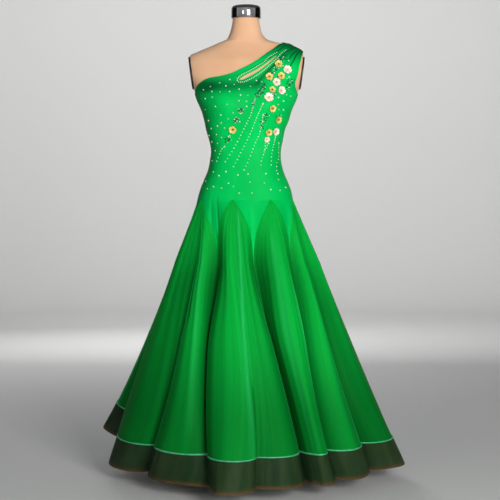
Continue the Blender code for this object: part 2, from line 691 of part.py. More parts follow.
def main():
    for old in list(bpy.data.objects):
        bpy.data.objects.remove(old, do_unlink=True)
    parts = collection("ballroom_dress")
    helpers = collection("cutters")
    stretch = material("bodice stretch cloth", (0.0, 0.42, 0.08), 0.4)
    sheer = material("layered sheer cloth", (0.01, 0.36, 0.07), 0.6)
    edge = material("hem cord", (0.03, 0.42, 0.16), 0.5)
    stiff = material("stiff hem band", (0.03, 0.08, 0.025), 0.5)
    white = material("white petals", (0.85, 0.83, 0.76), 0.6)
    gold = material("gold petals", (0.65, 0.48, 0.06), 0.4)
    skin = material("form jersey", (0.78, 0.55, 0.38), 0.75)
    chrome = material("polished chrome", (0.8, 0.8, 0.8), 0.08, 1.0)
    dark = material("dark gloss plastic", (0.03, 0.02, 0.02), 0.2)
    make_bodice_front(stretch, parts, helpers)
    make_bodice_back(stretch, parts)
    for godet in range(GODETS):
        make_godet(godet, sheer, parts)
        make_cord(godet, edge, parts)
        make_band(godet, stiff, parts)
    for name, x, z, radius, clear in FLOWERS:
        make_flower(name, x, z, radius, clear, white if "white" in name else gold, parts)
    make_stand(skin, chrome, dark, parts)


main()
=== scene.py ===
"""Studio picture of a green ballroom dance dress on a limbless dress form.

The dress is worked out from the same named tables as its solids: a surface given by an angle round the
body and a height. Angles are in degrees, 0 at the front (-Y) and + to +X. Lengths are in metres, and +Z
is up.
"""

import logging
import math
from dataclasses import dataclass
from enum import Enum

import bpy
import numpy as np
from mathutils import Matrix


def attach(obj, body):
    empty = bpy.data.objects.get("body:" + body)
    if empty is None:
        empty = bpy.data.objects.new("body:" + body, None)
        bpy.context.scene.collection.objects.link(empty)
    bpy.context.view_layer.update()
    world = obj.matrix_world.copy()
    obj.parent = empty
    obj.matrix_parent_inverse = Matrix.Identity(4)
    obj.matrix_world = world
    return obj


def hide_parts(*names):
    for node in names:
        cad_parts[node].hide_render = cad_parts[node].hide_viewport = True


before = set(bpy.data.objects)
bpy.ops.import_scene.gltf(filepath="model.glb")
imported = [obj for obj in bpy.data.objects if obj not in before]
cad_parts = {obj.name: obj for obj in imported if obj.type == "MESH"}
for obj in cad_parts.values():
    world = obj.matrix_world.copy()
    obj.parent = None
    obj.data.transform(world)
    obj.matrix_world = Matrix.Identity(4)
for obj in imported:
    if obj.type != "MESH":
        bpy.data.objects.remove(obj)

logging.basicConfig(level=logging.INFO, format="%(message)s")
LOG = logging.getLogger("dress")

Array = np.ndarray
Colour = tuple[float, float, float]
Lines = tuple[tuple[float, ...], ...]
Maps = dict[str, np.ndarray]
Piece = bpy.types.Object
Finish = bpy.types.Material
Socket = bpy.types.NodeSocket


class Slot(Enum):
    """Material slots of the record."""

    BODICE = "bodice_cloth"
    SKIRT = "skirt_sheer"
    CORD = "hem_cord"
    BAND = "hem_band"
    WHITE = "white_petals"
    GOLD = "gold_petals"
    FORM = "form_cover"
    CHROME = "chrome"
    PLATE = "dark_plate"


class Held(Enum):
    """How a sheet of cloth is held."""

    HUNG = "hung"
    STRETCHED = "stretched"


class Panel(Enum):
    """The two bodice panels."""

    FRONT = "bodice_front"
    BACK = "bodice_back"


# Body sections: height, reach to -X, reach to +X, reach to the front, reach to the back
SECTIONS = (
    (0.884, 0.1575, 0.1490, 0.104, 0.125),
    (0.916, 0.1488, 0.1424, 0.099, 0.118),
    (0.948, 0.1360, 0.1296, 0.095, 0.111),
    (0.980, 0.1232, 0.1168, 0.092, 0.104),
    (1.012, 0.1168, 0.1104, 0.088, 0.097),
    (1.044, 0.1136, 0.1104, 0.086, 0.094),
    (1.076, 0.1200, 0.1168, 0.092, 0.094),
    (1.108, 0.1296, 0.1232, 0.102, 0.098),
    (1.140, 0.1360, 0.1360, 0.110, 0.103),
    (1.172, 0.1456, 0.1456, 0.114, 0.108),
    (1.204, 0.1600, 0.1600, 0.113, 0.110),
    (1.226, 0.1670, 0.1670, 0.111, 0.109),
    (1.250, 0.1765, 0.1765, 0.107, 0.106),
    (1.280, 0.1940, 0.1940, 0.099, 0.106),
    (1.310, 0.2000, 0.2000, 0.088, 0.102),
    (1.330, 0.1980, 0.1980, 0.080, 0.094),
    (1.348, 0.1840, 0.1860, 0.070, 0.084),
    (1.364, 0.1480, 0.1740, 0.062, 0.074),
    (1.375, 0.1220, 0.1520, 0.057, 0.066),
    (1.383, 0.1040, 0.1350, 0.054, 0.062),
    (1.388, 0.0940, 0.1070, 0.053, 0.060),
    (1.396, 0.0720, 0.0780, 0.052, 0.057),
    (1.412, 0.0590, 0.0560, 0.050, 0.054),
    (1.430, 0.0530, 0.0496, 0.048, 0.050),
    (1.463, 0.0464, 0.0432, 0.044, 0.046),
)

# Skirt folds, crest and valley in turn: angle at the hip, then angle and reach at thigh, knee and hem
FOLDS = (
    (-83.5, -83.5, 0.180, -93.0, 0.280, -103.0, 0.360),
    (-74.0, -70.0, 0.236, -78.0, 0.330, -90.0, 0.440),
    (-61.0, -49.0, 0.214, -44.0, 0.300, -64.0, 0.330),
    (-50.0, -40.0, 0.222, -31.0, 0.340, -38.0, 0.385),
    (-38.5, -29.5, 0.180, -25.0, 0.275, -15.5, 0.375),
    (-22.0, -13.0, 0.236, -4.0, 0.348, -8.0, 0.472),
    (-12.0, -4.0, 0.228, 3.0, 0.336, 4.0, 0.385),
    (-4.0, 0.5, 0.230, 9.0, 0.330, 16.0, 0.405),
    (6.5, 7.5, 0.165, 20.0, 0.262, 30.5, 0.335),
    (29.0, 28.0, 0.238, 28.5, 0.346, 36.0, 0.417),
    (51.5, 48.0, 0.190, 37.5, 0.292, 45.5, 0.350),
    (61.0, 54.5, 0.222, 46.0, 0.352, 57.0, 0.424),
    (71.0, 61.0, 0.212, 55.0, 0.322, 74.0, 0.390),
    (81.0, 78.0, 0.237, 75.0, 0.356, 88.0, 0.504),
    (96.5, 96.5, 0.182, 97.0, 0.285, 103.0, 0.375),
    (107.0, 106.0, 0.230, 106.0, 0.352, 113.0, 0.462),
    (118.0, 118.0, 0.214, 117.0, 0.325, 122.0, 0.400),
    (129.0, 130.0, 0.232, 128.0, 0.350, 130.0, 0.452),
    (141.5, 141.5, 0.180, 139.0, 0.285, 139.0, 0.362),
    (153.0, 153.0, 0.236, 151.0, 0.346, 150.0, 0.465),
    (164.0, 164.0, 0.216, 162.0, 0.330, 162.0, 0.392),
    (175.0, 175.0, 0.234, 174.0, 0.346, 173.0, 0.462),
    (186.5, 186.5, 0.178, 186.0, 0.280, 185.0, 0.362),
    (198.0, 198.0, 0.234, 197.0, 0.343, 196.0, 0.458),
    (209.0, 209.0, 0.216, 208.0, 0.332, 207.0, 0.398),
    (220.0, 220.0, 0.236, 219.0, 0.348, 218.0, 0.465),
    (231.5, 231.5, 0.180, 230.0, 0.280, 229.0, 0.368),
    (254.0, 254.0, 0.238, 248.0, 0.362, 245.0, 0.572),
)

# Where each fold gets a painted highlight along its edge: the share of the way from each line above to the
# next, or 0 for nowhere
EDGE_HIGHLIGHT_SHARES = (
    0.0, 0.0, 0.48, 0.0, 0.37, 0.0, 0.0, 0.57, 0.0, 0.36, 0.0, 0.38, 0.0, 0.0,
    0.0, 0.42, 0.0, 0.40, 0.0, 0.42, 0.0, 0.40, 0.0, 0.42, 0.0, 0.40, 0.0, 0.24,
)

# Lines drawn down the skirt, raised ridges with painted highlights and sunk creases with painted shade:
# strength, width, upper and lower end, and hip angles at the route's heights
ROUTE_HEIGHTS = (0.20, 0.35, 0.50, 0.70, 0.86)
PAINTED_HIGHLIGHT_LINES = (
    (1.0, 1.55, 0.865, 0.10, -16.6, -17.6, -16.8, -12.5, -11.0),
    (0.5, 2.0, 0.80, 0.12, 24.0, 24.0, 24.0, 24.0, 24.0),
    (0.4, 1.3, 0.80, 0.20, -47.0, -47.0, -47.5, -49.0, -52.0),
)
PAINTED_SHADE_LINES = (
    (1.0, 0.55, 0.36, 0.16, -13.2, -14.0, -14.0, -14.0, -14.0),
    (0.8, 0.8, 0.80, 0.52, -52.5, -52.5, -53.0, -55.0, -57.0),
)

# Fine pleats of a godet: weight, number across, shift from godet to godet, and turn on the way down
PLEATS = ((0.65, 5.0, 0.37, 1.6), (0.35, 12.0, 0.61, -1.1))

# Sides of the skirt given painted shade: angle, width, and how much darker
PAINTED_SHADE_SIDES = ((88.0, 12.0, 0.30), (73.0, 7.0, 0.42), (-84.0, 12.0, 0.20))

# Gathers of the strap from neckline to armhole, sunk into the cloth and given painted shade: depth, width,
# and share of the way up where each starts
GATHERS = (
    (0.60, 0.50, 0.44), (1.0, 0.34, 0.30), (0.40, 0.26, 0.54), (0.90, 0.46, 0.36), (0.75, 0.30, 0.50),
    (0.45, 0.50, 0.40), (1.0, 0.36, 0.30), (0.55, 0.28, 0.56), (0.85, 0.44, 0.38),
)

# Drag lines above the bodice's points, whose grooves also get painted shade: angle, width, lower and upper
# end, and depth (a ridge has minus)
DRAGS = (
    (-41.5, 1.5, 0.74, 0.90, 0.9),
    (-37.0, 1.2, 0.72, 0.88, -0.8),
    (-34.0, 1.4, 0.75, 0.915, 1.0),
    (-45.5, 1.5, 0.80, 0.93, -0.6),
    (-29.5, 1.3, 0.80, 0.90, 0.5),
)

# Front neckline from the -X armpit up to the strap, and armhole from the +X armpit up: angle and height
NECKLINE = (
    (-83.5, 1.2166), (-66.0, 1.2387), (-50.0, 1.2560), (-38.5, 1.2668), (-24.8, 1.2729),
    (-13.5, 1.2830), (-4.8, 1.2967), (3.9, 1.3122), (12.8, 1.3324), (24.2, 1.3560), (34.0, 1.3700),
    (48.0, 1.3800), (90.0, 1.3870),
)
ARMHOLE = (
    (96.5, 1.2166), (70.0, 1.2270), (58.5, 1.2450), (54.5, 1.2650), (53.3, 1.2920), (54.0, 1.3120),
    (60.0, 1.3370), (90.0, 1.3630),
)

# Keyhole slit: its middle line in X and Z, and half its width there
SLIT = (
    (-0.0210, 1.2602, 0.0006), (-0.0150, 1.2630, 0.0034), (0.0020, 1.2722, 0.0047),
    (0.0250, 1.2845, 0.0041), (0.0480, 1.2995, 0.0032), (0.0740, 1.3200, 0.0024),
    (0.0930, 1.3370, 0.0014),
)


# Angles between faces past which an edge is drawn sharp: the rim of a cloth, and the form's flat cuts
RIM_ANGLE = math.radians(62)
CUT_ANGLE = math.radians(40)


def smooth_through(places: Array, values: Array, at: Array) -> Array:
    """Smooth curve through values: cubic pieces, whose slope at a place is the mean of those beside it.

    Args:
        places: rising numbers where the values are known.
        values: the value at each place.
        at: where the curve is asked for.

    Returns:
        The curve's value at each number of at.
    """
    places = np.asarray(places, float)
    values = np.asarray(values, float)
    slopes = np.gradient(values, places)
    at = np.clip(at, places[0], places[-1])
    i = np.clip(np.searchsorted(places, at, side="right") - 1, 0, len(places) - 2)
    step = places[i + 1] - places[i]
    s = (at - places[i]) / step
    rise = s * s * (3 - 2 * s)
    leave = s * (1 - s) ** 2 * step * slopes[i]
    arrive = s * s * (s - 1) * step * slopes[i + 1]
    return values[i] * (1 - rise) + values[i + 1] * rise + leave + arrive


def run_along(points: Array) -> Array:
    """How far along a row of points each one lies, by straight steps from the first."""
    return np.append(0, np.cumsum(np.linalg.norm(np.diff(points, axis=0), axis=1)))


def unit(vectors: Array) -> Array:
    """Vectors divided by their lengths."""
    return vectors / np.linalg.norm(vectors, axis=-1, keepdims=True)


def bell(at: Array, width: float | Array) -> Array:
    """exp(-(at / width) squared): 1 at 0, and near 0 past twice the width."""
    return np.exp(-((at / width) ** 2))


def smoothstep(low: float, high: float, at: Array) -> Array:
    """0 below low, 1 above high, and 3t2 - 2t3 between."""
    t = np.clip((at - low) / (high - low), 0, 1)
    return t * t * (3 - 2 * t)


@dataclass
class DressSurface:
    """The surface that the whole dress lies on, as points of an angle round the body and a height.

    Above the hip it is a stack of squared half ellipses, below the thigh a folded cone, and between them
    a blend.
    """

    hip_z: float = 0.884
    thigh_z: float = 0.69
    knee_z: float = 0.40
    hem_z: float = 0.045
    squareness: float = 0.045
    cup_height: float = 0.015
    cup_angle: float = 27.0
    cup_spread: float = 17.0
    cup_z: float = 1.185
    cup_tall: float = 0.045
    lift_height: float = 0.085
    lift_angle: float = -116.0
    lift_spread: float = 16.0
    thigh_flatness: float = 0.9
    roll: float = 0.34
    roll_depth: float = 0.045
    roll_top_z: float = 0.70
    roll_full_z: float = 0.44
    crest_reach: float = 0.350
    valley_depth: float = 0.085
    angle_step: float = 0.15
    height_step: float = 0.001
    front_limit: float = 89.0

    def body(self, angle: Array, z: Array, cups: bool = True) -> Array:
        """Half ellipses of each height's reaches, swollen at the diagonals, with two bell-shaped cups.

        Args:
            angle: angles round the body.
            z: heights.
            cups: whether the bust cups are raised.

        Returns:
            Points, one for each angle and height.
        """
        heights, left, right, front, back = np.array(SECTIONS).T
        s = np.sin(np.radians(angle))
        c = np.cos(np.radians(angle))
        half = np.where(s < 0, smooth_through(heights, left, z), smooth_through(heights, right, z))
        deep = np.where(c > 0, smooth_through(heights, front, z), smooth_through(heights, back, z))
        square = 1 + self.squareness * (2 * s * c) ** 2
        out = 0.0
        if cups:
            turn = (np.asarray(angle) + 180) % 360 - 180
            sides = bell(np.abs(turn) - self.cup_angle, self.cup_spread)
            out = self.cup_height * sides * bell(z - self.cup_z, self.cup_tall)
        return np.stack([half * s * square, -(deep * c * square + out), z + 0 * s], axis=-1)

    def hem_lift(self, turn: Array) -> Array:
        """A bell of height over the angle, where the back lobe swings out and up."""
        off = (np.asarray(turn) - self.lift_angle + 180) % 360 - 180
        return self.lift_height * bell(off, self.lift_spread)

    def fold_place(self, angle: Array) -> tuple[Array, Array, Array]:
        """Where angles lie among the fold lines.

        Args:
            angle: angles at the hip.

        Returns:
            The fold table with its first line repeated at its end, the line before each angle, and the
            share of the way to the next line.
        """
        lines = np.array(FOLDS)
        lines = np.vstack([lines, lines[0] + [360, 360, 0, 360, 0, 360, 0]])
        start = lines[0, 0]
        angle = (np.asarray(angle, float) - start) % 360 + start
        i = np.clip(np.searchsorted(lines[:, 0], angle, side="right") - 1, 0, len(FOLDS) - 1)
        return lines, i, (angle - lines[i, 0]) / (lines[i + 1, 0] - lines[i, 0])

    def skirt(self, angle: Array, z: Array, rolled: bool = True) -> Array:
        """Reach follows half a cosine wave from fold line to fold line, and a parabola down each line.

        Below the thigh each flank is rolled towards its valley: its turn is shifted by a half sine, so
        that crests stay broad and valleys close up.

        Args:
            angle: angles at the hip.
            z: heights.
            rolled: whether the flanks are rolled.

        Returns:
            Points of the folded skirt.
        """
        lines, i, u = self.fold_place(angle)
        wave = (1 - np.cos(math.pi * u)) / 2
        low = np.minimum(z, self.thigh_z)
        spans = (self.thigh_z - self.knee_z, self.thigh_z - self.hem_z, self.knee_z - self.hem_z)
        to_thigh = (low - self.knee_z) * (low - self.hem_z) / (spans[0] * spans[1])
        to_knee = (low - self.thigh_z) * (low - self.hem_z) / (-spans[0] * spans[2])
        to_hem = 1 - to_thigh - to_knee
        depth = [lines[i, k] - lines[i + 1, k] for k in (2, 4, 6)]
        depth = depth[0] * to_thigh + depth[1] * to_knee + depth[2] * to_hem
        shift = 0.0
        if rolled:
            strength = self.roll * np.tanh(depth / self.roll_depth)
            strength = strength * smoothstep(self.roll_top_z, self.roll_full_z, z)
            shift = strength * np.sin(math.pi * u)
        side = u + shift
        turns = [lines[i, k] * (1 - side) + lines[i + 1, k] * side for k in (1, 3, 5)]
        reaches = [lines[i, k] * (1 - wave) + lines[i + 1, k] * wave for k in (2, 4, 6)]
        turn = np.radians(turns[0] * to_thigh + turns[1] * to_knee + turns[2] * to_hem)
        reach = reaches[0] * to_thigh + reaches[1] * to_knee + reaches[2] * to_hem
        high = smoothstep(self.knee_z, self.thigh_z, low)
        flat = 1 - (1 - self.thigh_flatness) * high
        return np.stack([reach * np.sin(turn), -reach * np.cos(turn) * flat, z + 0 * reach], axis=-1)

    def valley(self, angle: Array) -> Array:
        """How deep in a fold each angle lies, by its reach at the knee: 0 on a crest, 1 in a valley."""
        lines, i, u = self.fold_place(angle)
        wave = (1 - np.cos(math.pi * u)) / 2
        reach = lines[i, 4] * (1 - wave) + lines[i + 1, 4] * wave
        return np.clip((self.crest_reach - reach) / self.valley_depth, 0, 1)

    def at(self, angle: Array, z: Array) -> Array:
        """Points of the dress: the body above the hip, the skirt below the thigh, and a blend between."""
        angle, z = np.broadcast_arrays(np.asarray(angle, float), np.asarray(z, float))
        drop = np.clip((self.hip_z - z) / (self.hip_z - self.thigh_z), 0, 1)[..., None]
        points = self.body(angle, np.maximum(z, self.hip_z)) * (1 - drop) + self.skirt(angle, z) * drop
        points[..., 2] = z
        return points

    def outward(self, angle: Array, z: Array) -> Array:
        """Unit normals: the cross product of the slopes round the body and up it."""
        turn, rise = self.angle_step, self.height_step
        around = self.at(np.add(angle, turn), z) - self.at(np.subtract(angle, turn), z)
        up = self.at(angle, np.add(z, rise)) - self.at(angle, np.subtract(z, rise))
        return unit(np.cross(around, up))

    def angle_at(self, x: Array, z: Array) -> Array:
        """Angle at which the front of the body has a given X, found by halving the range thirty times."""
        low = np.full(np.shape(x), -self.front_limit)
        high = np.full(np.shape(x), self.front_limit)
        for _ in range(30):
            middle = (low + high) / 2
            less = self.body(middle, z)[..., 0] < x
            low = np.where(less, middle, low)
            high = np.where(less, high, middle)
        return (low + high) / 2

    def turn_at_hem(self, angle: Array, z: float) -> Array:
        """Angle that a line of the skirt has turned to at a height near the hem, before rolling."""
        point = self.skirt(angle, np.full(np.shape(angle), z), rolled=False)
        return np.degrees(np.arctan2(point[..., 0], -point[..., 1]))


@dataclass(frozen=True)
class PictureFrame:
    """The photograph's frame: a level camera in front, with its horizon and axis at known places."""

    distance: float = 4.2
    eye_z: float = 0.90
    focal: float = 1312.5
    axis_x: float = 246.5
    horizon_y: float = 195.0
    size: float = 500.0
    sensor: float = 36.0
    usual_depth: float = 0.1

    def on_front(self, surface: DressSurface, places: Array) -> tuple[Array, Array]:
        """Angle and height on the bodice front that show at places in the picture.

        The depth of the surface is found by repeating: a guess gives X and Z, which give a better depth.

        Args:
            surface: the dress surface.
            places: picture places, one row of across and down for each.

        Returns:
            Angles and heights on the surface.
        """
        across, down = np.asarray(places, float).T
        depth = np.full(len(across), self.distance - self.usual_depth)
        for _ in range(5):
            x = (across - self.axis_x) / self.focal * depth
            z = self.eye_z - (down - self.horizon_y) / self.focal * depth
            angle = surface.angle_at(x, z)
            depth = self.distance + surface.body(angle, z)[..., 1]
        return angle, z


def grid_quads(rows: int, columns: int, closed: bool = False) -> Array:
    """Quads of a grid of points whose rows go up and whose columns turn to +X, seen from outside.

    Args:
        rows: number of rows.
        columns: number of columns.
        closed: whether the last column joins the first.

    Returns:
        Four point numbers for each quad.
    """
    number = np.arange(rows * columns).reshape(rows, columns)
    after = np.roll(number, -1, axis=1)
    if not closed:
        number, after = number[:, :-1], after[:, :-1]
    quads = [number[:-1], after[:-1], after[1:], number[1:]]
    return np.stack(quads, axis=-1).reshape(-1, 4)


def make_piece(name: str, points: Array, faces: list[Array], maps: Maps | None = None) -> Piece:
    """A smooth mesh object at the origin.

    Args:
        name: the piece's name.
        points: one row for each point.
        faces: arrays of quads or of triangles.
        maps: for each name, one row per point: two columns make a UV map, one column a number attribute.

    Returns:
        The new object.
    """
    mesh = bpy.data.meshes.new(name)
    mesh.from_pydata(points.reshape(-1, 3).tolist(), [], [f for group in faces for f in group.tolist()])
    corners = np.empty(len(mesh.loops), np.int32)
    mesh.loops.foreach_get("vertex_index", corners)
    for title, values in (maps or {}).items():
        values = np.asarray(values, np.float32)
        if values.ndim == 2:
            layer = mesh.uv_layers.new(name=title)
            layer.data.foreach_set("uv", values[corners].ravel())
        else:
            layer = mesh.attributes.new(title, "FLOAT", "POINT")
            layer.data.foreach_set("value", values)
    mesh.shade_smooth()
    piece = bpy.data.objects.new(name, mesh)
    bpy.context.scene.collection.objects.link(piece)
    return piece


def cloth_shell(name: str, skin: Array, normal: Array, thick: float, maps: Maps | None = None) -> Piece:
    """A closed cloth wall: the skin, the same grid moved in by the wall, and a rim that joins them.

    Args:
        name: the piece's name.
        skin: rows and columns of points of the outer side.
        normal: outward normals of the skin.
        thick: thickness of the wall.
        maps: maps of the skin's points, repeated on the inner side.

    Returns:
        The new object.
    """
    rows, columns = skin.shape[:2]
    count = rows * columns
    number = np.arange(count).reshape(rows, columns)
    ring = np.concatenate([number[0], number[1:, -1], number[-1, -2::-1], number[-2:0:-1, 0]])
    after = np.roll(ring, -1)
    rim = np.stack([after, ring, ring + count, after + count], axis=-1)
    quads = grid_quads(rows, columns)
    points = np.concatenate([skin.reshape(-1, 3), (skin - normal * thick).reshape(-1, 3)])
    doubled = {title: np.concatenate([v, v]) for title, v in (maps or {}).items()}
    piece = make_piece(name, points, [quads, quads[:, ::-1] + count, rim], doubled)
    piece.data.set_sharp_from_angle(angle=RIM_ANGLE)
    return piece


def turned_surface(profile: Array, steps: int) -> tuple[Array, list[Array]]:
    """A profile of radius and height turned about Z, with both ends closed on the axis.

    Args:
        profile: radius and height from the lower end up the outer side, without the points on the axis.
        steps: number of steps round.

    Returns:
        Points and faces.
    """
    around = np.linspace(0, 2 * math.pi, steps, endpoint=False)
    radius, z = np.asarray(profile).T
    ring = np.stack([np.sin(around), -np.cos(around), 0 * around], axis=-1)
    points = ring[None] * radius[:, None, None] + np.array([0, 0, 1]) * z[:, None, None]
    count = len(profile) * steps
    points = np.concatenate([points.reshape(-1, 3), [[0, 0, z[0]], [0, 0, z[-1]]]])
    first = np.arange(steps)
    low = np.stack([np.roll(first, -1), first, np.full(steps, count)], axis=-1)
    last = first + count - steps
    high = np.stack([last, np.roll(last, -1), np.full(steps, count + 1)], axis=-1)
    return points, [grid_quads(len(profile), steps, True), low, high]


def tube(route: Array, radius: Array, sides: int) -> tuple[Array, list[Array]]:
    """A tube along a route: rings square to it, whose up direction stays near +Z, with pointed ends.

    Args:
        route: points that the tube follows.
        radius: radius at each point.
        sides: number of sides.

    Returns:
        Points and faces.
    """
    past = 0.6
    way = unit(np.gradient(route, axis=0))
    up = unit(np.array([0.0, 0.0, 1.0]) - way * way[:, 2:])
    side = np.cross(way, up)
    around = np.linspace(0, 2 * math.pi, sides, endpoint=False)[None, :, None]
    rings = side[:, None] * np.cos(around) + up[:, None] * np.sin(around)
    points = route[:, None] + rings * radius[:, None, None]
    count = len(route) * sides
    ends = np.stack([route[0] - way[0] * radius[0] * past, route[-1] + way[-1] * radius[-1] * past])
    points = np.concatenate([points.reshape(-1, 3), ends])
    first = np.arange(sides)
    low = np.stack([first, np.roll(first, -1), np.full(sides, count)], axis=-1)
    last = first + count - sides
    high = np.stack([np.roll(last, -1), last, np.full(sides, count + 1)], axis=-1)
    quads = grid_quads(len(route), sides, True)[:, ::-1]
    return points, [quads, low, high]


class NodeBench:
    """Builds one material's nodes."""

    def __init__(self, name: str) -> None:
        """Starts a material with its plain shader."""
        self.material = bpy.data.materials.new(name)
        self.material.use_nodes = True
        self.tree = self.material.node_tree
        self.shader = self.tree.nodes["Principled BSDF"]

    def set(self, **values: float | tuple) -> None:
        """Sets the shader's own sockets, named with _ for each space."""
        for title, value in values.items():
            self.shader.inputs[title.replace("_", " ")].default_value = value

    def add(self, kind: str, **settings: object) -> bpy.types.Node:
        """A node of a kind, with its settings."""
        node = self.tree.nodes.new(kind)
        for title, value in settings.items():
            setattr(node, title, value)
        return node

    def link(self, one: Socket, other: Socket) -> None:
        """Joins two sockets."""
        self.tree.links.new(one, other)

    def feed(self, title: str, socket: Socket) -> None:
        """Joins a socket to the shader's input of that title."""
        self.link(socket, self.shader.inputs[title])

    def placed(self, source: str, scale: tuple[float, float, float]) -> Socket:
        """Object or UV coordinates, scaled.

        Args:
            source: "Object" or "UV".
            scale: scale along each axis.

        Returns:
            The vector socket.
        """
        coordinates = self.add("ShaderNodeTexCoord")
        mapping = self.add("ShaderNodeMapping")
        mapping.inputs["Scale"].default_value = scale
        self.link(coordinates.outputs[source], mapping.inputs["Vector"])
        return mapping.outputs["Vector"]

    def noise(self, vector: Socket, scale: float, detail: float = 2.0) -> Socket:
        """Noise over a vector, about 0 to 1."""
        node = self.add("ShaderNodeTexNoise")
        node.inputs["Scale"].default_value = scale
        node.inputs["Detail"].default_value = detail
        self.link(vector, node.inputs["Vector"])
        return node.outputs["Fac"]

    def waves(self, vector: Socket, scale: float, direction: str) -> Socket:
        """Sine bands over a vector, in a direction: X, Y, Z or DIAGONAL."""
        node = self.add("ShaderNodeTexWave", bands_direction=direction)
        node.inputs["Scale"].default_value = scale
        self.link(vector, node.inputs["Vector"])
        return node.outputs["Fac"]

    def number(self, title: str) -> Socket:
        """A number attribute of the mesh."""
        return self.add("ShaderNodeAttribute", attribute_name=title).outputs["Fac"]

    def spread(self, socket: Socket, low: float, high: float, to_low: float, to_high: float) -> Socket:
        """A number's range moved to another range, and kept within it."""
        node = self.add("ShaderNodeMapRange")
        ends = (("From Min", low), ("From Max", high), ("To Min", to_low), ("To Max", to_high))
        for title, value in ends:
            node.inputs[title].default_value = value
        self.link(socket, node.inputs["Value"])
        return node.outputs["Result"]

    def both(self, how: str, one: Socket, other: Socket | float) -> Socket:
        """Two numbers added, multiplied and so on."""
        node = self.add("ShaderNodeMath", operation=how)
        self.link(one, node.inputs[0])
        if isinstance(other, Socket):
            self.link(other, node.inputs[1])
        else:
            node.inputs[1].default_value = other
        return node.outputs["Value"]

    def blend(self, share: Socket, one: Socket | Colour, other: Socket | Colour) -> Socket:
        """A colour between two colours."""
        node = self.add("ShaderNodeMix", data_type="RGBA")
        self.link(share, node.inputs[0])
        for socket, colour in ((node.inputs[6], one), (node.inputs[7], other)):
            if isinstance(colour, Socket):
                self.link(colour, socket)
            else:
                socket.default_value = (*colour, 1)
        return node.outputs[2]

    def bump(self, height: Socket, distance: float, strength: float = 1.0) -> None:
        """Relief from a height."""
        node = self.add("ShaderNodeBump")
        node.inputs["Distance"].default_value = distance
        node.inputs["Strength"].default_value = strength
        self.link(height, node.inputs["Height"])
        self.feed("Normal", node.outputs["Normal"])


@dataclass(frozen=True)
class SatinCloth:
    """Bright stretch satin, nearly matt: a fine knit grain, shallow colour drift, and painted shade in
    creases, hollows and towards the sides.
    """

    bright: Colour = (0.001, 0.58, 0.105)
    deep: Colour = (0.0, 0.44, 0.075)
    crease: Colour = (0.0, 0.045, 0.014)

    def build(self) -> Finish:
        """The material."""
        bench = NodeBench("stretch satin")
        drift = bench.noise(bench.placed("Object", (1, 1, 0.5)), 9)
        cloth = bench.blend(bench.spread(drift, 0.3, 0.7, 0.0, 1.0), self.deep, self.bright)
        # Painted shade: the cloth is blended towards a near black green in creases, hollows and towards
        # the sides.
        bench.feed("Base Color", bench.blend(bench.number("crease"), cloth, self.crease))
        grain = bench.noise(bench.placed("Object", (1, 1, 0.25)), 900, 1)
        bench.bump(grain, 0.0002, 0.5)
        bench.feed("Roughness", bench.spread(grain, 0.3, 0.7, 0.42, 0.54))
        bench.set(Specular_IOR_Level=0.035, Sheen_Weight=0.01, Sheen_Roughness=0.4)
        bench.set(Sheen_Tint=(0.2, 1.0, 0.4, 1))
        return bench.material


@dataclass(frozen=True)
class SheerCloth:
    """Layers of crisp sheer cloth with fine streaks: painted shade in deep folds, creases, at the sides
    and near the hem, and painted highlights on fold edges and ridges.
    """

    bright: Colour = (0.003, 0.48, 0.056)
    middle: Colour = (0.001, 0.32, 0.031)
    deep: Colour = (0.0, 0.050, 0.005)
    highlight_colour: Colour = (0.035, 0.66, 0.19)

    def build(self) -> Finish:
        """The material."""
        bench = NodeBench("layered sheer cloth")
        streaks = bench.noise(bench.placed("UV", (90, 1.6, 1)), 1.0, 4)
        broad = bench.noise(bench.placed("UV", (14, 0.8, 1)), 1.0, 2)
        fine = bench.spread(streaks, 0.3, 0.7, 0, 0.45)
        tone = bench.both("ADD", fine, bench.spread(broad, 0.3, 0.7, 0, 0.55))
        cloth = bench.blend(tone, self.middle, self.bright)
        # Painted shade: the cloth is blended towards a near black green in deep folds, creases, at the
        # sides and near the hem.
        shaded = bench.blend(bench.number("valley"), cloth, self.deep)
        # Painted highlights: the cloth is blended towards a pale green on fold edges and raised ridges.
        bench.feed("Base Color", bench.blend(bench.number("light"), shaded, self.highlight_colour))
        weave = bench.noise(bench.placed("Object", (1, 1, 1)), 1400, 1)
        bench.bump(bench.both("ADD", bench.both("MULTIPLY", streaks, 3.0), weave), 0.0003, 0.6)
        bench.set(Roughness=0.62, Specular_IOR_Level=0.035)
        bench.set(Sheen_Weight=0.02, Sheen_Roughness=0.3, Sheen_Tint=(0.35, 1.0, 0.5, 1))
        return bench.material


@dataclass(frozen=True)
class StiffBraid:
    """Translucent stiff braid: dark olive, with soft streaks, painted shade in the folds, a fine slanting
    net and a brown edge.
    """

    light: Colour = (0.040, 0.068, 0.023)
    dark: Colour = (0.012, 0.034, 0.012)
    brown: Colour = (0.125, 0.058, 0.026)

    def build(self) -> Finish:
        """The material."""
        bench = NodeBench("stiff braid")
        streaks = bench.noise(bench.placed("UV", (26, 0.35, 1)), 1.0, 2)
        crest = bench.spread(streaks, 0.35, 0.80, 0.15, 0.75)
        # Painted shade: the braid darkens in the folds.
        body = bench.blend(bench.both("SUBTRACT", crest, bench.number("valley")), self.dark, self.light)
        bench.feed("Base Color", bench.blend(bench.number("low_edge"), body, self.brown))
        net = bench.waves(bench.placed("UV", (620, 60, 1)), 1.0, "DIAGONAL")
        bench.feed("Alpha", bench.spread(net, 0.0, 1.0, 0.80, 0.95))
        bench.bump(streaks, 0.0004, 0.5)
        bench.set(Roughness=0.55, Specular_IOR_Level=0.06)
        return bench.material


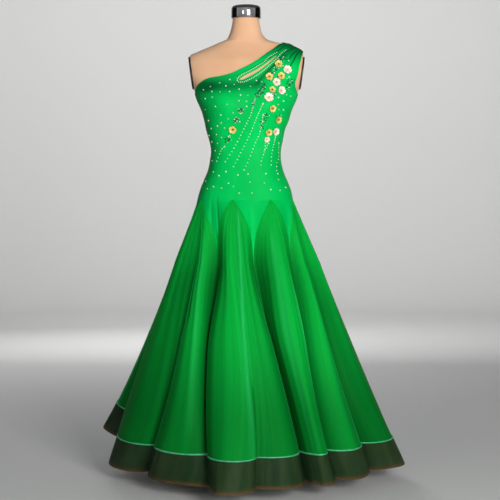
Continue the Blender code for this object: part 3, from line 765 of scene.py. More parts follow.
@dataclass(frozen=True)
class PlainFinish:
    """A finish of two near colours that drift, with fine relief.

    Its fields are the colours, how coarse the drift and the relief are, and the shader's own numbers.
    """

    title: str
    one: Colour
    other: Colour
    drift: float
    grain: float
    relief: float
    roughness: float
    metallic: float = 0.0
    coat: float = 0.0
    sheen: float = 0.0

    def build(self) -> Finish:
        """The material."""
        bench = NodeBench(self.title)
        place = bench.placed("Object", (1, 1, 1))
        tone = bench.spread(bench.noise(place, self.drift), 0.35, 0.65, 0, 1)
        bench.feed("Base Color", bench.blend(tone, self.one, self.other))
        grain = bench.noise(place, self.grain, 1)
        bench.bump(grain, self.relief, 0.6)
        low, high = self.roughness * 0.85, self.roughness * 1.15
        bench.feed("Roughness", bench.spread(grain, 0.3, 0.7, low, high))
        bench.set(Metallic=self.metallic, Coat_Weight=self.coat, Sheen_Weight=self.sheen)
        return bench.material


@dataclass(frozen=True)
class PetalCloth:
    """Petals whose colour runs from a deep tint at the base to a pale lip, with painted shade along the
    sides and a fine grain.
    """

    title: str
    lip: Colour
    base: Colour

    def build(self) -> Finish:
        """The material."""
        bench = NodeBench(self.title)
        place = bench.placed("Object", (1, 1, 1))
        drift = bench.spread(bench.noise(place, 260), 0.35, 0.65, -0.12, 0.12)
        share = bench.both("ADD", bench.number("base"), drift)
        bench.feed("Base Color", bench.blend(share, self.lip, self.base))
        grain = bench.noise(place, 700, 1)
        bench.bump(grain, 0.0003, 0.6)
        bench.feed("Roughness", bench.spread(grain, 0.3, 0.7, 0.42, 0.58))
        return bench.material


class Wardrobe:
    """Every finish of the dress and the form, built once."""

    def __init__(self) -> None:
        """Builds the materials."""
        self.satin = SatinCloth().build()
        self.sheer = SheerCloth().build()
        self.braid = StiffBraid().build()
        edge = PlainFinish("rolled edge", (0.03, 0.42, 0.16), (0.07, 0.56, 0.25), 60, 900, 0.0004, 0.45)
        self.cord = edge.build()
        self.white = PetalCloth("white petals", (0.95, 0.91, 0.86), (0.84, 0.50, 0.34)).build()
        self.gold = PetalCloth("gold petals", (0.92, 0.78, 0.26), (0.52, 0.28, 0.02)).build()
        self.bead = self.beads("gold beads", (0.72, 0.44, 0.05), (0.86, 0.62, 0.16))
        self.ember = self.beads("bronze beads", (0.14, 0.10, 0.01), (0.30, 0.20, 0.03))
        one, other = (0.0, 0.050, 0.020), (0.0, 0.19, 0.07)
        sequin = PlainFinish("green sequins", one, other, 160, 600, 0.0002, 0.18, metallic=0.2, coat=0.6)
        self.leaf = sequin.build()
        one, other = (0.76, 0.42, 0.23), (0.82, 0.50, 0.30)
        self.skin = PlainFinish("form jersey", one, other, 7, 1100, 0.0002, 0.78, sheen=0.2).build()
        one, other = (0.018, 0.010, 0.009), (0.030, 0.018, 0.016)
        self.plate = PlainFinish("dark gloss plate", one, other, 20, 300, 0.00002, 0.30, coat=0.2).build()
        self.crystals = {
            "clear": self.crystal("clear crystal", (0.85, 0.90, 0.88), (0.97, 0.97, 0.97), 0.08),
            "mint": self.crystal("green crystal", (0.35, 0.80, 0.48), (0.55, 0.90, 0.62), 0.08),
            "blush": self.crystal("blush crystal", (0.72, 0.52, 0.38), (0.85, 0.68, 0.52), 0.10),
        }
        self.chrome = self.polished_metal()

    @staticmethod
    def beads(title: str, one: Colour, other: Colour) -> Finish:
        """Glossy beads of two near colours."""
        return PlainFinish(title, one, other, 200, 700, 0.0002, 0.3).build()

    @staticmethod
    def crystal(title: str, one: Colour, other: Colour, roughness: float) -> Finish:
        """Glossy stones of two near colours, under a clear coat."""
        return PlainFinish(title, one, other, 300, 500, 0.0001, roughness, coat=1.0).build()

    @staticmethod
    def polished_metal() -> Finish:
        """Chrome with faint haze that drifts over it."""
        bench = NodeBench("polished chrome")
        haze = bench.noise(bench.placed("Object", (1, 1, 1)), 30)
        bench.feed("Roughness", bench.spread(haze, 0.3, 0.7, 0.04, 0.09))
        bench.feed("Base Color", bench.blend(haze, (0.34, 0.33, 0.34), (0.40, 0.39, 0.40)))
        bench.set(Metallic=1.0)
        return bench.material


def settle(piece: Piece, finish: Finish, slot: Slot, *nodes: str) -> Piece:
    """Gives a piece its finish, ties it to the part and puts it in the place of its solids.

    Args:
        piece: the new object.
        finish: its material.
        slot: the record's slot for it; not used.
        nodes: the solids that it stands for.

    Returns:
        The same object.
    """
    piece.data.materials.append(finish)
    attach(piece, "root")
    if nodes:
        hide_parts(*nodes)
    piece.data.calc_loop_triangles()
    LOG.info("%s: %d triangles", piece.name, len(piece.data.loop_triangles))
    return piece


@dataclass
class Godets:
    """Where the godets and the bodice's points meet."""

    surface: DressSurface
    count: int = 8
    half: float = 22.5
    apex_half: float = 1.3
    first_point: float = -83.5
    tips_z: tuple[float, ...] = (0.69, 0.69, 0.65, 0.695, 0.69, 0.69, 0.69, 0.69)
    widening: int = 3
    hem_z: float = 0.1385
    cord_z: float = 0.1361
    band_top_z: float = 0.1337

    def spread(self, s: Array) -> Array:
        """Half angle of a godet at a share of the way down its seam: it widens as 1 - (1 - s) cubed."""
        return self.apex_half + (self.half - self.apex_half) * (1 - (1 - s) ** self.widening)

    def point_angle(self, point: int) -> float:
        """Angle of one of the bodice's points."""
        return self.first_point + 2 * self.half * point

    def seam(self, point: int, side: int, s: Array) -> tuple[Array, Array]:
        """A seam from the hip apex down to the tip of a bodice point.

        Args:
            point: the point's number.
            side: -1 for the seam on its -X side, 1 for the other.
            s: shares of the way down.

        Returns:
            Angles and heights.
        """
        hip = self.surface.hip_z
        tip = self.tips_z[point % self.count]
        return self.point_angle(point) + side * (self.half - self.spread(s)), hip + (tip - hip) * s

    def below(self, point: int, s: Array) -> tuple[Array, Array]:
        """The seam between two godets, from a bodice point's tip down to the hem: angles and heights."""
        middle = self.point_angle(point)
        tip = self.tips_z[point % self.count]
        hem = self.hem_z + self.surface.hem_lift(self.surface.turn_at_hem(middle, self.hem_z))
        return middle + 0 * s, tip + (hem - tip) * s

    def columns(self, godet: int, steps: int) -> Array:
        """Angles at the hip of a godet's columns, in steps from each fold line to the next."""
        lines = np.array([row[0] for row in FOLDS] + [FOLDS[0][0] + 360])
        low = self.point_angle(godet)
        near = 0.01
        own = lines[(lines > low - near) & (lines < low + 2 * self.half + near)]
        parts = np.arange(steps) / steps
        inner = (own[:-1, None] + np.diff(own)[:, None] * parts).ravel()
        return np.append(inner, own[-1])


@dataclass
class Skirt:
    """Eight godets of layered sheer cloth, with their rolled cords and stiff bands."""

    surface: DressSurface
    godets: Godets
    wardrobe: Wardrobe
    wall: float = 0.0009
    band_wall: float = 0.0008
    seated: float = 0.0005
    cord_radius: float = 0.0020
    godet_length: float = 0.80
    godet_cut_share: float = 0.62
    band_deep: float = 0.092
    hem_widths: tuple[float, ...] = (0.62, 0.50, 0.26, 0.60, 0.46, 0.50, 0.46, 0.38)
    upper_rows: int = 22
    upper_crowding: float = 1.3
    lower_rows: int = 62
    godet_steps: int = 26
    cord_steps: int = 20
    cord_sides: int = 8
    band_steps: int = 16
    band_rows: int = 16
    band_painted_shade: float = 0.6
    edge_brown: float = 0.8
    grain_step: float = 1.37
    pleat_height: float = 0.0006
    pleat_growth: float = 0.0022
    ridge_height: float = 0.0030
    edge_highlight_width: float = 0.055
    hem_painted_shade: float = 0.56
    middle_light: float = 0.40
    middle_angle: float = 5.0
    middle_width: float = 6.0
    crease_painted_shade: float = 0.6
    ridge_highlight: float = 0.36
    edge_highlight_strength: float = 0.50
    ruffle_height: float = 0.0022
    ruffles: float = 6.0

    def build(self) -> None:
        """Builds every godet, cord and band."""
        for godet in range(self.godets.count):
            band = self.build_band(godet)
            cord = self.build_cord(godet)
            self.build_godet(godet)

    def pleats(self, share: Array, down: Array, godet: int) -> Array:
        """Fine pleats that fan from the apex: two sine waves across the godet, none at its seams.

        Args:
            share: share of the way across the godet.
            down: share of the way down it.
            godet: the godet's number, which shifts the waves.

        Returns:
            Heights off the surface.
        """
        waves = sum(
            weight * np.sin(2 * math.pi * (count * share + shift * godet) + turn * down)
            for weight, count, shift, turn in PLEATS
        )
        size = self.pleat_height + self.pleat_growth * smoothstep(0.0, 0.55, down)
        return waves * size * np.sin(math.pi * share) ** 0.7

    def edge_highlight(self, angle: Array) -> Array:
        """Painted highlights along the edges of the folds: a narrow bell of the share of the way between
        two fold lines.
        """
        _, line, u = self.surface.fold_place(angle)
        middle = np.array(EDGE_HIGHLIGHT_SHARES)[line]
        return bell(u - middle, self.edge_highlight_width) * (middle > 0)

    def drawn(self, angle: Array, z: Array, lines: Lines) -> Array:
        """Lines drawn down the skirt: a bell of the angle about a route given at five heights.

        Args:
            angle: angles at the hip.
            z: heights.
            lines: each line's strength, width, upper and lower end, and its angles at the five heights.

        Returns:
            How strong the lines are at each point.
        """
        total = 0.0 * (angle + z)
        for strength, width, top, low, *route in lines:
            middle = np.interp(z, ROUTE_HEIGHTS, route)
            ends = smoothstep(low - 0.02, low + 0.03, z) * smoothstep(top + 0.01, top - 0.05, z)
            total = total + strength * ends * bell(angle - middle, width)
        return total

    @staticmethod
    def near_hem(down: Array) -> Array:
        """How near the hem each point is: 0 down to half way, then rising to 1."""
        return smoothstep(0.46, 0.90, down)

    def side_and_hem_shade(self, angle: Array, down: Array) -> Array:
        """Painted shade at the sides and near the hem: a bell of the angle about each side, and a rise
        towards the hem.
        """
        sides = 0.0
        for middle, width, dark in PAINTED_SHADE_SIDES:
            off = (angle - middle + 180) % 360 - 180
            sides = sides + dark * bell(off, width)
        sides = np.clip(sides, 0, 0.7) * smoothstep(0.15, 0.5, down)
        return 1 - (1 - sides) * (1 - self.hem_painted_shade * self.near_hem(down))

    def godet_grid(self, godet: int) -> tuple[Array, Array, Array]:
        """A godet's grid between its two seams, from the hem up to the apex.

        Args:
            godet: its number.

        Returns:
            Angles, heights, and shares of the way across.
        """
        grid = self.godets
        upper = np.linspace(0, 1, self.upper_rows) ** self.upper_crowding
        lower = np.linspace(0, 1, self.lower_rows)[1:]
        edges = []
        for point, side in ((godet, 1), (godet + 1, -1)):
            angle, z = grid.seam(point, side, upper)
            low_angle, low_z = grid.below(point, lower)
            edges.append((np.append(angle, low_angle)[::-1, None], np.append(z, low_z)[::-1, None]))
        (left_angle, left_z), (right_angle, right_z) = edges
        columns = grid.columns(godet, self.godet_steps)
        u = (columns - columns[0]) / (columns[-1] - columns[0])
        angle = left_angle + (right_angle - left_angle) * u
        z = left_z + (right_z - left_z) * u
        hem = grid.hem_z + self.surface.hem_lift(self.surface.turn_at_hem(columns, grid.hem_z))
        sunk = np.concatenate([np.zeros(len(upper)), lower])[::-1, None]
        return angle, z + (hem - z[0]) * sunk**2, u

    def godet_tones(
        self, angle: Array, down: Array, ridges: Array, creases: Array
    ) -> tuple[Array, Array]:
        """How much painted shade and painted highlight the cloth gets: shade in deep folds and creases,
        highlights on fold edges and ridges.

        Dark causes add up as 1 - (1 - one) (1 - other), and pale ones fade to the hem.

        Args:
            angle: angles at the hip.
            down: shares of the way down.
            ridges: how strong the pale lines are.
            creases: how strong the dark lines are.

        Returns:
            Numbers for the valley attribute, which carries painted shade, and the light attribute, which
            carries painted highlights.
        """
        # Painted shade in the deep folds, lessened about the middle angle.
        soft = 1 - self.middle_light * bell(angle - self.middle_angle, self.middle_width)
        deep = self.surface.valley(angle) * soft * smoothstep(0.06, 0.35, down)
        # Painted shade along the sunk crease lines.
        deep = deep + self.crease_painted_shade * creases
        # Painted shade at the sides and near the hem.
        deep = 1 - (1 - np.clip(deep, 0, 1)) * (1 - self.side_and_hem_shade(angle, down))
        fade = self.near_hem(down)
        # Painted highlights along the fold edges, fading towards the hem.
        edge_highlight = self.edge_highlight(angle) * smoothstep(0.22, 0.5, down)
        # Painted highlights on the raised ridges, fading towards the hem.
        light = self.ridge_highlight * ridges * (1 - 0.70 * fade)
        light = light + self.edge_highlight_strength * edge_highlight * (1 - 0.45 * fade)
        return np.clip(deep, 0, 1), np.clip(light, 0, 1)

    def build_godet(self, godet: int) -> None:
        """One godet as a closed wall, with its pleats, ridges and creases, painted highlights on the
        ridges and fold edges, and painted shade in the creases and folds.

        Args:
            godet: its number.
        """
        angle, z, u = self.godet_grid(godet)
        down = (self.surface.hip_z - z) / (self.surface.hip_z - self.godets.hem_z)
        normal = self.surface.outward(angle, z)
        ridges = self.drawn(angle, z, PAINTED_HIGHLIGHT_LINES)
        creases = self.drawn(angle, z, PAINTED_SHADE_LINES)
        raised = self.pleats(u + 0 * z, down, godet) - self.seated
        raised = raised + self.ridge_height * (ridges - creases)
        skin = self.surface.at(angle, z) + normal * raised[..., None]
        deep, light = self.godet_tones(angle, down, ridges, creases)
        maps = {
            "cloth": np.stack([u + 0 * z + godet * self.grain_step, down], axis=-1).reshape(-1, 2),
            "valley": deep.ravel(),
            "light": light.ravel(),
        }
        piece = cloth_shell(f"sheer_godet_{godet + 1}", skin, normal, self.wall, maps)
        settle(piece, self.wardrobe.sheer, Slot.SKIRT, f"godet_{godet + 1}")

    def build_cord(self, godet: int) -> Piece:
        """A rolled cord along one godet's lower edge, whose radius swells and sinks a little.

        Args:
            godet: its number.

        Returns:
            The cord.
        """
        columns = self.godets.columns(godet, self.cord_steps)[:, None]
        lift = self.surface.hem_lift(self.surface.turn_at_hem(columns, self.godets.hem_z))
        z = self.godets.cord_z + lift
        route = (self.surface.at(columns, z) - self.surface.outward(columns, z) * self.wall / 2)[:, 0]
        swell, waves = 0.10, 520
        radius = self.cord_radius * (1 + swell * np.sin(run_along(route) * waves + godet))
        points, faces = tube(route, radius, self.cord_sides)
        piece = make_piece(f"rolled_cord_{godet + 1}", points, faces)
        return settle(piece, self.wardrobe.cord, Slot.CORD, f"hem_cord_{godet + 1}")

    def build_band(self, godet: int) -> Piece:
        """One length of stiff braid under a cord, with a ruffle that grows to its lower edge.

        Args:
            godet: its number.

        Returns:
            The band.
        """
        columns = self.godets.columns(godet, self.band_steps)
        share = np.linspace(0, 1, self.band_rows)[:, None]
        lift = self.surface.hem_lift(self.surface.turn_at_hem(columns, self.godets.hem_z))
        low = self.surface.hem_z
        z = low + (self.godets.band_top_z - low) * share + lift
        angle = columns + 0 * z
        normal = self.surface.outward(angle, z)
        u = (angle - angle[0, 0]) / (angle[0, -1] - angle[0, 0])
        waves = np.sin(2 * math.pi * (self.ruffles * u + 0.4 * godet))
        ruffle = self.ruffle_height * waves * (1 - share) * np.sin(math.pi * u) ** 0.5
        skin = self.surface.at(angle, z) + normal * ruffle[..., None]
        maps = {
            "cloth": np.stack([u + self.grain_step * godet, share + 0 * u], axis=-1).reshape(-1, 2),
            "valley": (self.band_painted_shade * self.surface.valley(angle)).ravel(),
            "low_edge": (smoothstep(0.16, 0.0, share) * self.edge_brown + 0 * u).ravel(),
        }
        piece = cloth_shell(f"stiff_band_{godet + 1}", skin, normal, self.band_wall, maps)
        settle(piece, self.wardrobe.braid, Slot.BAND, f"hem_band_{godet + 1}")
        return piece


@dataclass
class Bodice:
    """The stretch bodice: a front panel with the slit and the gathered strap, and a plain back panel."""

    surface: DressSurface
    godets: Godets
    wardrobe: Wardrobe
    wall: float = 0.0013
    seam_steps: int = 24
    point_rows: int = 18
    body_rows: int = 44
    strap_rows: int = 48
    armpit_z: float = 1.2166
    above_hip_z: float = 0.89
    gather_height: float = 0.0032
    drag_depth: float = 0.0017
    hollow_z: float = 1.245
    hollow_slope: float = 0.06
    hollow_tall: float = 0.0205
    hollow_depth: float = 0.0030
    slack_x: float = 0.048
    slack_z: float = 1.268
    slack_slope: float = 1.05
    slack_tall: float = 0.011
    slack_depth: float = 0.0010
    gather_painted_shade: float = 0.85
    strap_top_painted_shade: float = 0.80
    left_side_painted_shade: float = 0.60
    right_side_painted_shade: float = 0.32
    drag_painted_shade: float = 0.45
    hollow_painted_shade: float = 0.72
    slack_painted_shade: float = 0.55
    darkest_painted_shade: float = 0.86
    cut: tuple[float, float] = (0.55, 0.72)
    cut_share: float = 0.55

    def build(self) -> None:
        """Builds both panels."""
        self.build_panel(Panel.FRONT)
        self.build_panel(Panel.BACK)

    def columns(self, panel: Panel) -> tuple[Array, Array]:
        """Angles of a panel's columns at the steps of the godet seams, and its lower edge's height there.

        Args:
            panel: which panel.

        Returns:
            Angles and heights.
        """
        first = 0 if panel is Panel.FRONT else self.godets.count // 2
        s = np.linspace(0, 1, self.seam_steps)
        angles, heights = [], []
        for point in range(first, first + self.godets.count // 2):
            down_angle, down_z = self.godets.seam(point, 1, s)
            up_angle, up_z = self.godets.seam(point + 1, -1, s)
            start = 0 if point == first else 1
            angles += [down_angle[::-1][start:], up_angle]
            heights += [down_z[::-1][start:], up_z]
        return np.concatenate(angles), np.concatenate(heights)

    def edge(self, table: Lines, parts: Array, mirrored: bool) -> tuple[Array, Array]:
        """Angle and height at shares of the way along an edge: a smooth curve through its table.

        Args:
            table: angle and height of points of the front edge.
            parts: shares of the way.
            mirrored: whether the edge is the one behind.

        Returns:
            Angles and heights.
        """
        angle, z = np.array(table).T
        place = self.surface.at(angle, z)
        run = run_along(place)
        if mirrored:
            first = angle[0] if angle[0] > 0 else angle[0] + 360
            angle = np.append(first, 180 - angle[1:])
        return smooth_through(run / run[-1], angle, parts), smooth_through(run / run[-1], z, parts)

    def grid(self, panel: Panel) -> tuple[Array, Array, Array, Array]:
        """Angle and height grids of a panel, from its pointed lower edge to the armpit and up the strap.

        Args:
            panel: which panel.

        Returns:
            Angles, heights, shares of the way across from neckline to armhole, and shares of the way up
            the strap.
        """
        angles, low = self.columns(panel)
        down = np.linspace(0, 1, self.point_rows, endpoint=False)[:, None]
        rise = np.linspace(0, 1, self.body_rows)[:, None]
        points_z = low + (self.above_hip_z - low) * down
        body_z = self.above_hip_z + (self.armpit_z - self.above_hip_z) * rise + 0 * low
        z = np.vstack([points_z, body_z])
        angle = np.tile(angles, (len(z), 1))
        even = np.linspace(0, 1, self.strap_rows + 1)[1:]
        parts = (even + even**2 * (3 - 2 * even)) / 2
        back = panel is Panel.BACK
        neck_angle, neck_z = self.edge(NECKLINE, parts, back)
        arm_angle, arm_z = self.edge(ARMHOLE, parts, back)
        run = angles[::-1] if back else angles
        spread = (run - run[0]) / (run[-1] - run[0])
        even_across = np.linspace(0, 1, len(run))
        across = spread + (even_across - spread) * parts[:, None]
        if back:
            across = 1 - across[:, ::-1]
            start_angle, start_z, end_angle, end_z = arm_angle, arm_z, neck_angle, neck_z
        else:
            start_angle, start_z, end_angle, end_z = neck_angle, neck_z, arm_angle, arm_z
        top_angle = start_angle[:, None] + (end_angle - start_angle)[:, None] * across
        top_z = start_z[:, None] + (end_z - start_z)[:, None] * across
        rows = len(z)
        sides = np.vstack([np.tile((angles - angles[0]) / (angles[-1] - angles[0]), (rows, 1)), across])
        ups = np.concatenate([np.zeros(rows), parts])[:, None] + 0 * sides
        return np.vstack([angle, top_angle]), np.vstack([z, top_z]), sides, ups

    def creases(self, across: Array, up: Array) -> Array:
        """Gathers that fan down from the strap: bell-shaped creases, each of its own size.

        Args:
            across: shares of the way from neckline to armhole.
            up: shares of the way up the strap.

        Returns:
            How deep in a crease each point lies, 0 to 1.
        """
        depths, widths, starts = np.array(GATHERS).T
        uneven = across + 0.028 * np.sin(9.5 * across + 3.0 * up) + 0.012 * np.sin(23.0 * across + 2.1)
        last = len(GATHERS) - 1
        turns = last * uneven + 0.16 * np.sin(5.0 * up) - 0.3 * (1 - up)
        which = np.clip(np.round(turns), 0, last).astype(int)
        narrow = bell(np.sin(math.pi * turns), widths[which])
        ends = smoothstep(0.0, 0.04, across) * smoothstep(1.0, 0.96, across)
        return depths[which] * narrow * smoothstep(starts[which], starts[which] + 0.42, up) * ends

    def drags(self, angle: Array, z: Array) -> Array:
        """Drag lines above the first points: bell-shaped grooves and ridges, each over a height range."""
        total = 0.0
        for middle, width, low, high, deep in DRAGS:
            along = smoothstep(low, low + 0.05, z) * smoothstep(high, high - 0.06, z)
            total = total + deep * along * bell(angle - middle, width)
        return total

    def hollow(self, angle: Array, z: Array) -> Array:
        """The hollow between the neckline and the bust, sunk a little and given painted shade: a bell of
        height, faded at its two ends.
        """
        x = self.surface.body(angle, z)[..., 0]
        ends = smoothstep(-0.168, -0.128, x) * smoothstep(0.085, 0.020, x)
        ends = ends * (1 - 0.10 * smoothstep(-0.14, 0.0, x))
        return ends * bell(z - self.hollow_z - self.hollow_slope * x, self.hollow_tall)

    def under_slit(self, angle: Array, z: Array) -> Array:
        """The slack below the slit's upper half, sunk a little and given painted shade: a bell about a
        line that climbs beside it.
        """
        x = self.surface.body(angle, z)[..., 0]
        ends = smoothstep(0.020, 0.050, x) * smoothstep(0.120, 0.090, x)
        return ends * bell(z - self.slack_z - self.slack_slope * (x - self.slack_x), self.slack_tall)

    def build_panel(self, panel: Panel) -> None:
        """One panel as a closed cloth wall, with the slit cut through the front one.

        Args:
            panel: which panel.
        """
        angle, z, across, up = self.grid(panel)
        normal = self.surface.outward(angle, z)
        folds = self.creases(across, up)
        raised = self.gather_height * (0.4 * smoothstep(0.5, 0.9, up) - folds)
        # Painted shade in the gathers' creases, and over the top of the strap as a whole.
        crease = self.gather_painted_shade * folds + self.strap_top_painted_shade * smoothstep(0.56, 0.94, up)
        left, right = (across, 1 - across) if panel is Panel.FRONT else (1 - across, across)
        # Painted shade towards both sides of the panel, where the cloth turns away from the light, below
        # the strap.
        sides = self.left_side_painted_shade * smoothstep(0.27, 0.0, left)
        sides = sides + self.right_side_painted_shade * smoothstep(0.18, 0.0, right)
        crease = crease + sides * smoothstep(1.30, 1.24, z)
        if panel is Panel.FRONT:
            drags = self.drags(angle, z)
            hollow = self.hollow(angle, z)
            slack = self.under_slit(angle, z)
            raised = raised - self.drag_depth * drags - self.hollow_depth * hollow
            raised = raised - self.slack_depth * slack
            # Painted shade in the drag lines' grooves.
            crease = crease + self.drag_painted_shade * np.clip(drags, 0, 1)
            # Painted shade in the hollow above the bust and in the slack under the slit.
            crease = crease + self.hollow_painted_shade * hollow + self.slack_painted_shade * slack
        skin = self.surface.at(angle, z) + normal * raised[..., None]
        # The maps carry the painted shade of the gathers, strap top, sides, drag lines, hollow and slack,
        # capped at the darkest.
        maps = {
            "cloth": np.stack([across, z], axis=-1).reshape(-1, 2),
            "crease": np.clip(crease, 0, self.darkest_painted_shade).ravel(),
        }
        name = "satin_front" if panel is Panel.FRONT else "satin_back"
        piece = cloth_shell(name, skin, normal, self.wall, maps)
        if panel is Panel.FRONT:
            self.cut_slit(piece)
        settle(piece, self.wardrobe.satin, Slot.BODICE, panel.value)

    def cut_slit(self, piece: Piece) -> None:
        """Cuts the keyhole slit: a long leaf-shaped prism is taken from the front panel alone.

        Args:
            piece: the front panel.
        """
        knots = np.linspace(0, 1, len(SLIT))
        steps = np.linspace(0, 1, 40)
        x, z, half = (smooth_through(knots, column, steps) for column in np.array(SLIT).T)
        way = unit(np.stack([np.gradient(x), np.gradient(z)], axis=1))
        upper = np.stack([x - way[:, 1] * half, z + way[:, 0] * half], axis=1)
        lower = np.stack([x + way[:, 1] * half, z - way[:, 0] * half], axis=1)
        outline = np.concatenate([lower, upper[::-1]])
        count = len(outline)
        front, back = -0.2, -0.02
        depth = np.repeat([front, back], count)
        points = np.column_stack([np.tile(outline[:, 0], 2), depth, np.tile(outline[:, 1], 2)])
        ring = np.arange(count)
        after = np.roll(ring, -1)
        walls = np.stack([ring, ring + count, after + count, after], axis=-1)
        cutter = make_piece("slit_cutter", points, [walls, ring[None], ring[None, ::-1] + count])
        cut = piece.modifiers.new("keyhole slit", "BOOLEAN")
        cut.operation = "DIFFERENCE"
        cut.object = cutter
        ready = bpy.context.evaluated_depsgraph_get()
        mesh = bpy.data.meshes.new_from_object(piece.evaluated_get(ready))
        piece.modifiers.clear()
        piece.data = mesh
        bpy.data.objects.remove(cutter)


@dataclass
class DressForm:
    """The limbless form: jersey torso, chrome neck cap, dark arm plates, and its pole and base."""

    surface: DressSurface
    wardrobe: Wardrobe
    under: float = 0.0031
    foot_z: float = 0.80
    foot_scale: float = 0.94
    back_scale: float = 0.978
    cut_x: float = 0.165
    cut_z: float = 1.226
    cut_slope: float = 0.131
    top_z: float = 1.463
    angle_step: float = 0.2
    height_step: float = 0.001
    cap_radius: float = 0.0475
    cap_height: float = 0.042
    cap_x: float = -0.0015
    plate_tall: float = 0.053
    plate_deep: float = 0.042
    plate_thick: float = 0.006
    plate_round: float = 0.0018
    plate_radius: float = 0.045
    plate_gap: float = 0.00035
    plate_y: float = 0.004
    plate_z: float = 1.290
    steps: int = 96

    def build(self) -> None:
        """Builds the torso, cap and plates, and gives the pole and base their metal."""
        self.build_torso()
        self.build_cap()
        self.build_plate("left", -1)
        self.build_plate("right", 1)
        for node in ("stand_pole", "stand_base"):
            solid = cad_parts[node]
            solid.data.materials.clear()
            solid.data.materials.append(self.wardrobe.chrome)

    def build_torso(self) -> None:
        """The body surface drawn in under the cloth, with flat cuts where the arms would be.

        Above the cut's height, X is held within a line that slopes with the height.
        """
        hip = self.surface.hip_z
        hips = np.linspace(self.foot_z, hip, 8)[:-1]
        z = np.concatenate([hips, np.linspace(hip, self.top_z, 150)])[:, None]
        angle = np.linspace(0, 360, 144, endpoint=False)[None, :]
        on_body = np.maximum(z, hip)
        after = self.surface.body(angle + self.angle_step, on_body, False)
        around = after - self.surface.body(angle - self.angle_step, on_body, False)
        lower = np.maximum(on_body - self.height_step, hip)
        higher = self.surface.body(angle, on_body + self.height_step, False)
        up = higher - self.surface.body(angle, lower, False)
        normal = unit(np.cross(around, up))
        points = self.surface.body(angle, on_body, False) - normal * self.under
        shrink = 1 - (1 - self.foot_scale) * np.clip((hip - z) / (hip - self.foot_z), 0, 1)
        points[..., 0] *= shrink
        points[..., 1] *= shrink * np.where(points[..., 1] > 0, self.back_scale, 1)
        points[..., 2] = np.where((z <= hip) | (z >= self.top_z - self.height_step), z, points[..., 2])
        cut = self.cut_x + (points[..., 2] - self.cut_z) * self.cut_slope
        held = np.clip(points[..., 0], -cut, cut)
        points[..., 0] = np.where(points[..., 2] > self.cut_z, held, points[..., 0])
        rows, columns = points.shape[:2]
        ring = np.arange(columns)
        faces = [grid_quads(rows, columns, True), ring[None, ::-1], ring[None] + (rows - 1) * columns]
        piece = make_piece("jersey_torso", points, faces)
        piece.data.set_sharp_from_angle(angle=CUT_ANGLE)
        settle(piece, self.wardrobe.skin, Slot.FORM, "form_torso")

    def build_cap(self) -> None:
        """A turned cap: a small foot round, a straight side and a rounded top edge."""
        bend = np.linspace(0, math.pi / 2, 9)
        edge = 0.012
        radius, height = self.cap_radius, self.cap_height
        top = np.stack([radius - edge + edge * np.cos(bend), height - edge + edge * np.sin(bend)], axis=1)
        foot = np.array([[radius - 0.003, 0], [radius - 0.001, 0.0008], [radius, 0.003]])
        dome = np.array([[0.024, height + 0.0006], [0.012, height + 0.0009]])
        points, faces = turned_surface(np.concatenate([foot, top, dome]), self.steps)
        gap = 0.0003
        points += [self.cap_x, 0, self.top_z + gap]
        piece = make_piece("chrome_neck_cap", points, faces)
        settle(piece, self.wardrobe.chrome, Slot.CHROME, "form_neck_cap")

    def build_plate(self, title: str, side: int) -> None:
        """An oval plate with a rounded edge on the flat cut of a shoulder, tilted as the cut is.

        Args:
            title: left or right in the picture.
            side: -1 for -X, 1 for +X.
        """
        bend = np.linspace(0, math.pi / 2, 7)
        soft = self.plate_round
        half = self.plate_thick / 2
        out = 1 - soft / self.plate_radius * (1 - np.sin(bend))
        low = np.stack([out, -half + soft * (1 - np.cos(bend))], axis=1)
        profile = np.concatenate([low, low[::-1] * [1, -1]])
        points, faces = turned_surface(profile, self.steps)
        points[:, 0] *= self.plate_tall
        points[:, 1] *= self.plate_deep
        tilt = math.atan(self.cut_slope)
        turn = side * (math.pi / 2 + tilt)
        c, s = math.cos(turn), math.sin(turn)
        points = points @ np.array([[c, 0, s], [0, 1, 0], [-s, 0, c]]).T
        face = self.cut_x + (self.plate_z - self.cut_z) * self.cut_slope
        stand_off = (self.plate_gap + half) / math.cos(tilt)
        points += [side * (face + stand_off), self.plate_y, self.plate_z]
        piece = make_piece(f"gloss_arm_plate_{title}", points, faces)
        settle(piece, self.wardrobe.plate, Slot.PLATE, f"form_arm_plate_{title}")


# Flowers: node, X and Z of the middle, radius
FLOWERS = (
    ("flower_white_1", 0.1275, 1.2930, 0.0140),
    ("flower_white_2", 0.0930, 1.2520, 0.0130),
    ("flower_white_3", 0.1080, 1.2270, 0.0135),
    ("flower_white_4", 0.0690, 1.2030, 0.0150),
    ("flower_white_5", 0.0905, 1.1000, 0.0125),
    ("flower_white_6", 0.0630, 1.0750, 0.0095),
    ("flower_gold_1", 0.1000, 1.3100, 0.0125),
    ("flower_gold_2", 0.0710, 1.2690, 0.0125),
    ("flower_gold_3", 0.1080, 1.2730, 0.0120),
    ("flower_gold_4", 0.0795, 1.2275, 0.0105),
    ("flower_gold_5", 0.0800, 1.1700, 0.0118),
    ("flower_gold_6", 0.0985, 1.1370, 0.0118),
    ("flower_gold_7", 0.0690, 1.0975, 0.0115),
    ("flower_gold_8", -0.0425, 1.1050, 0.0125),
)

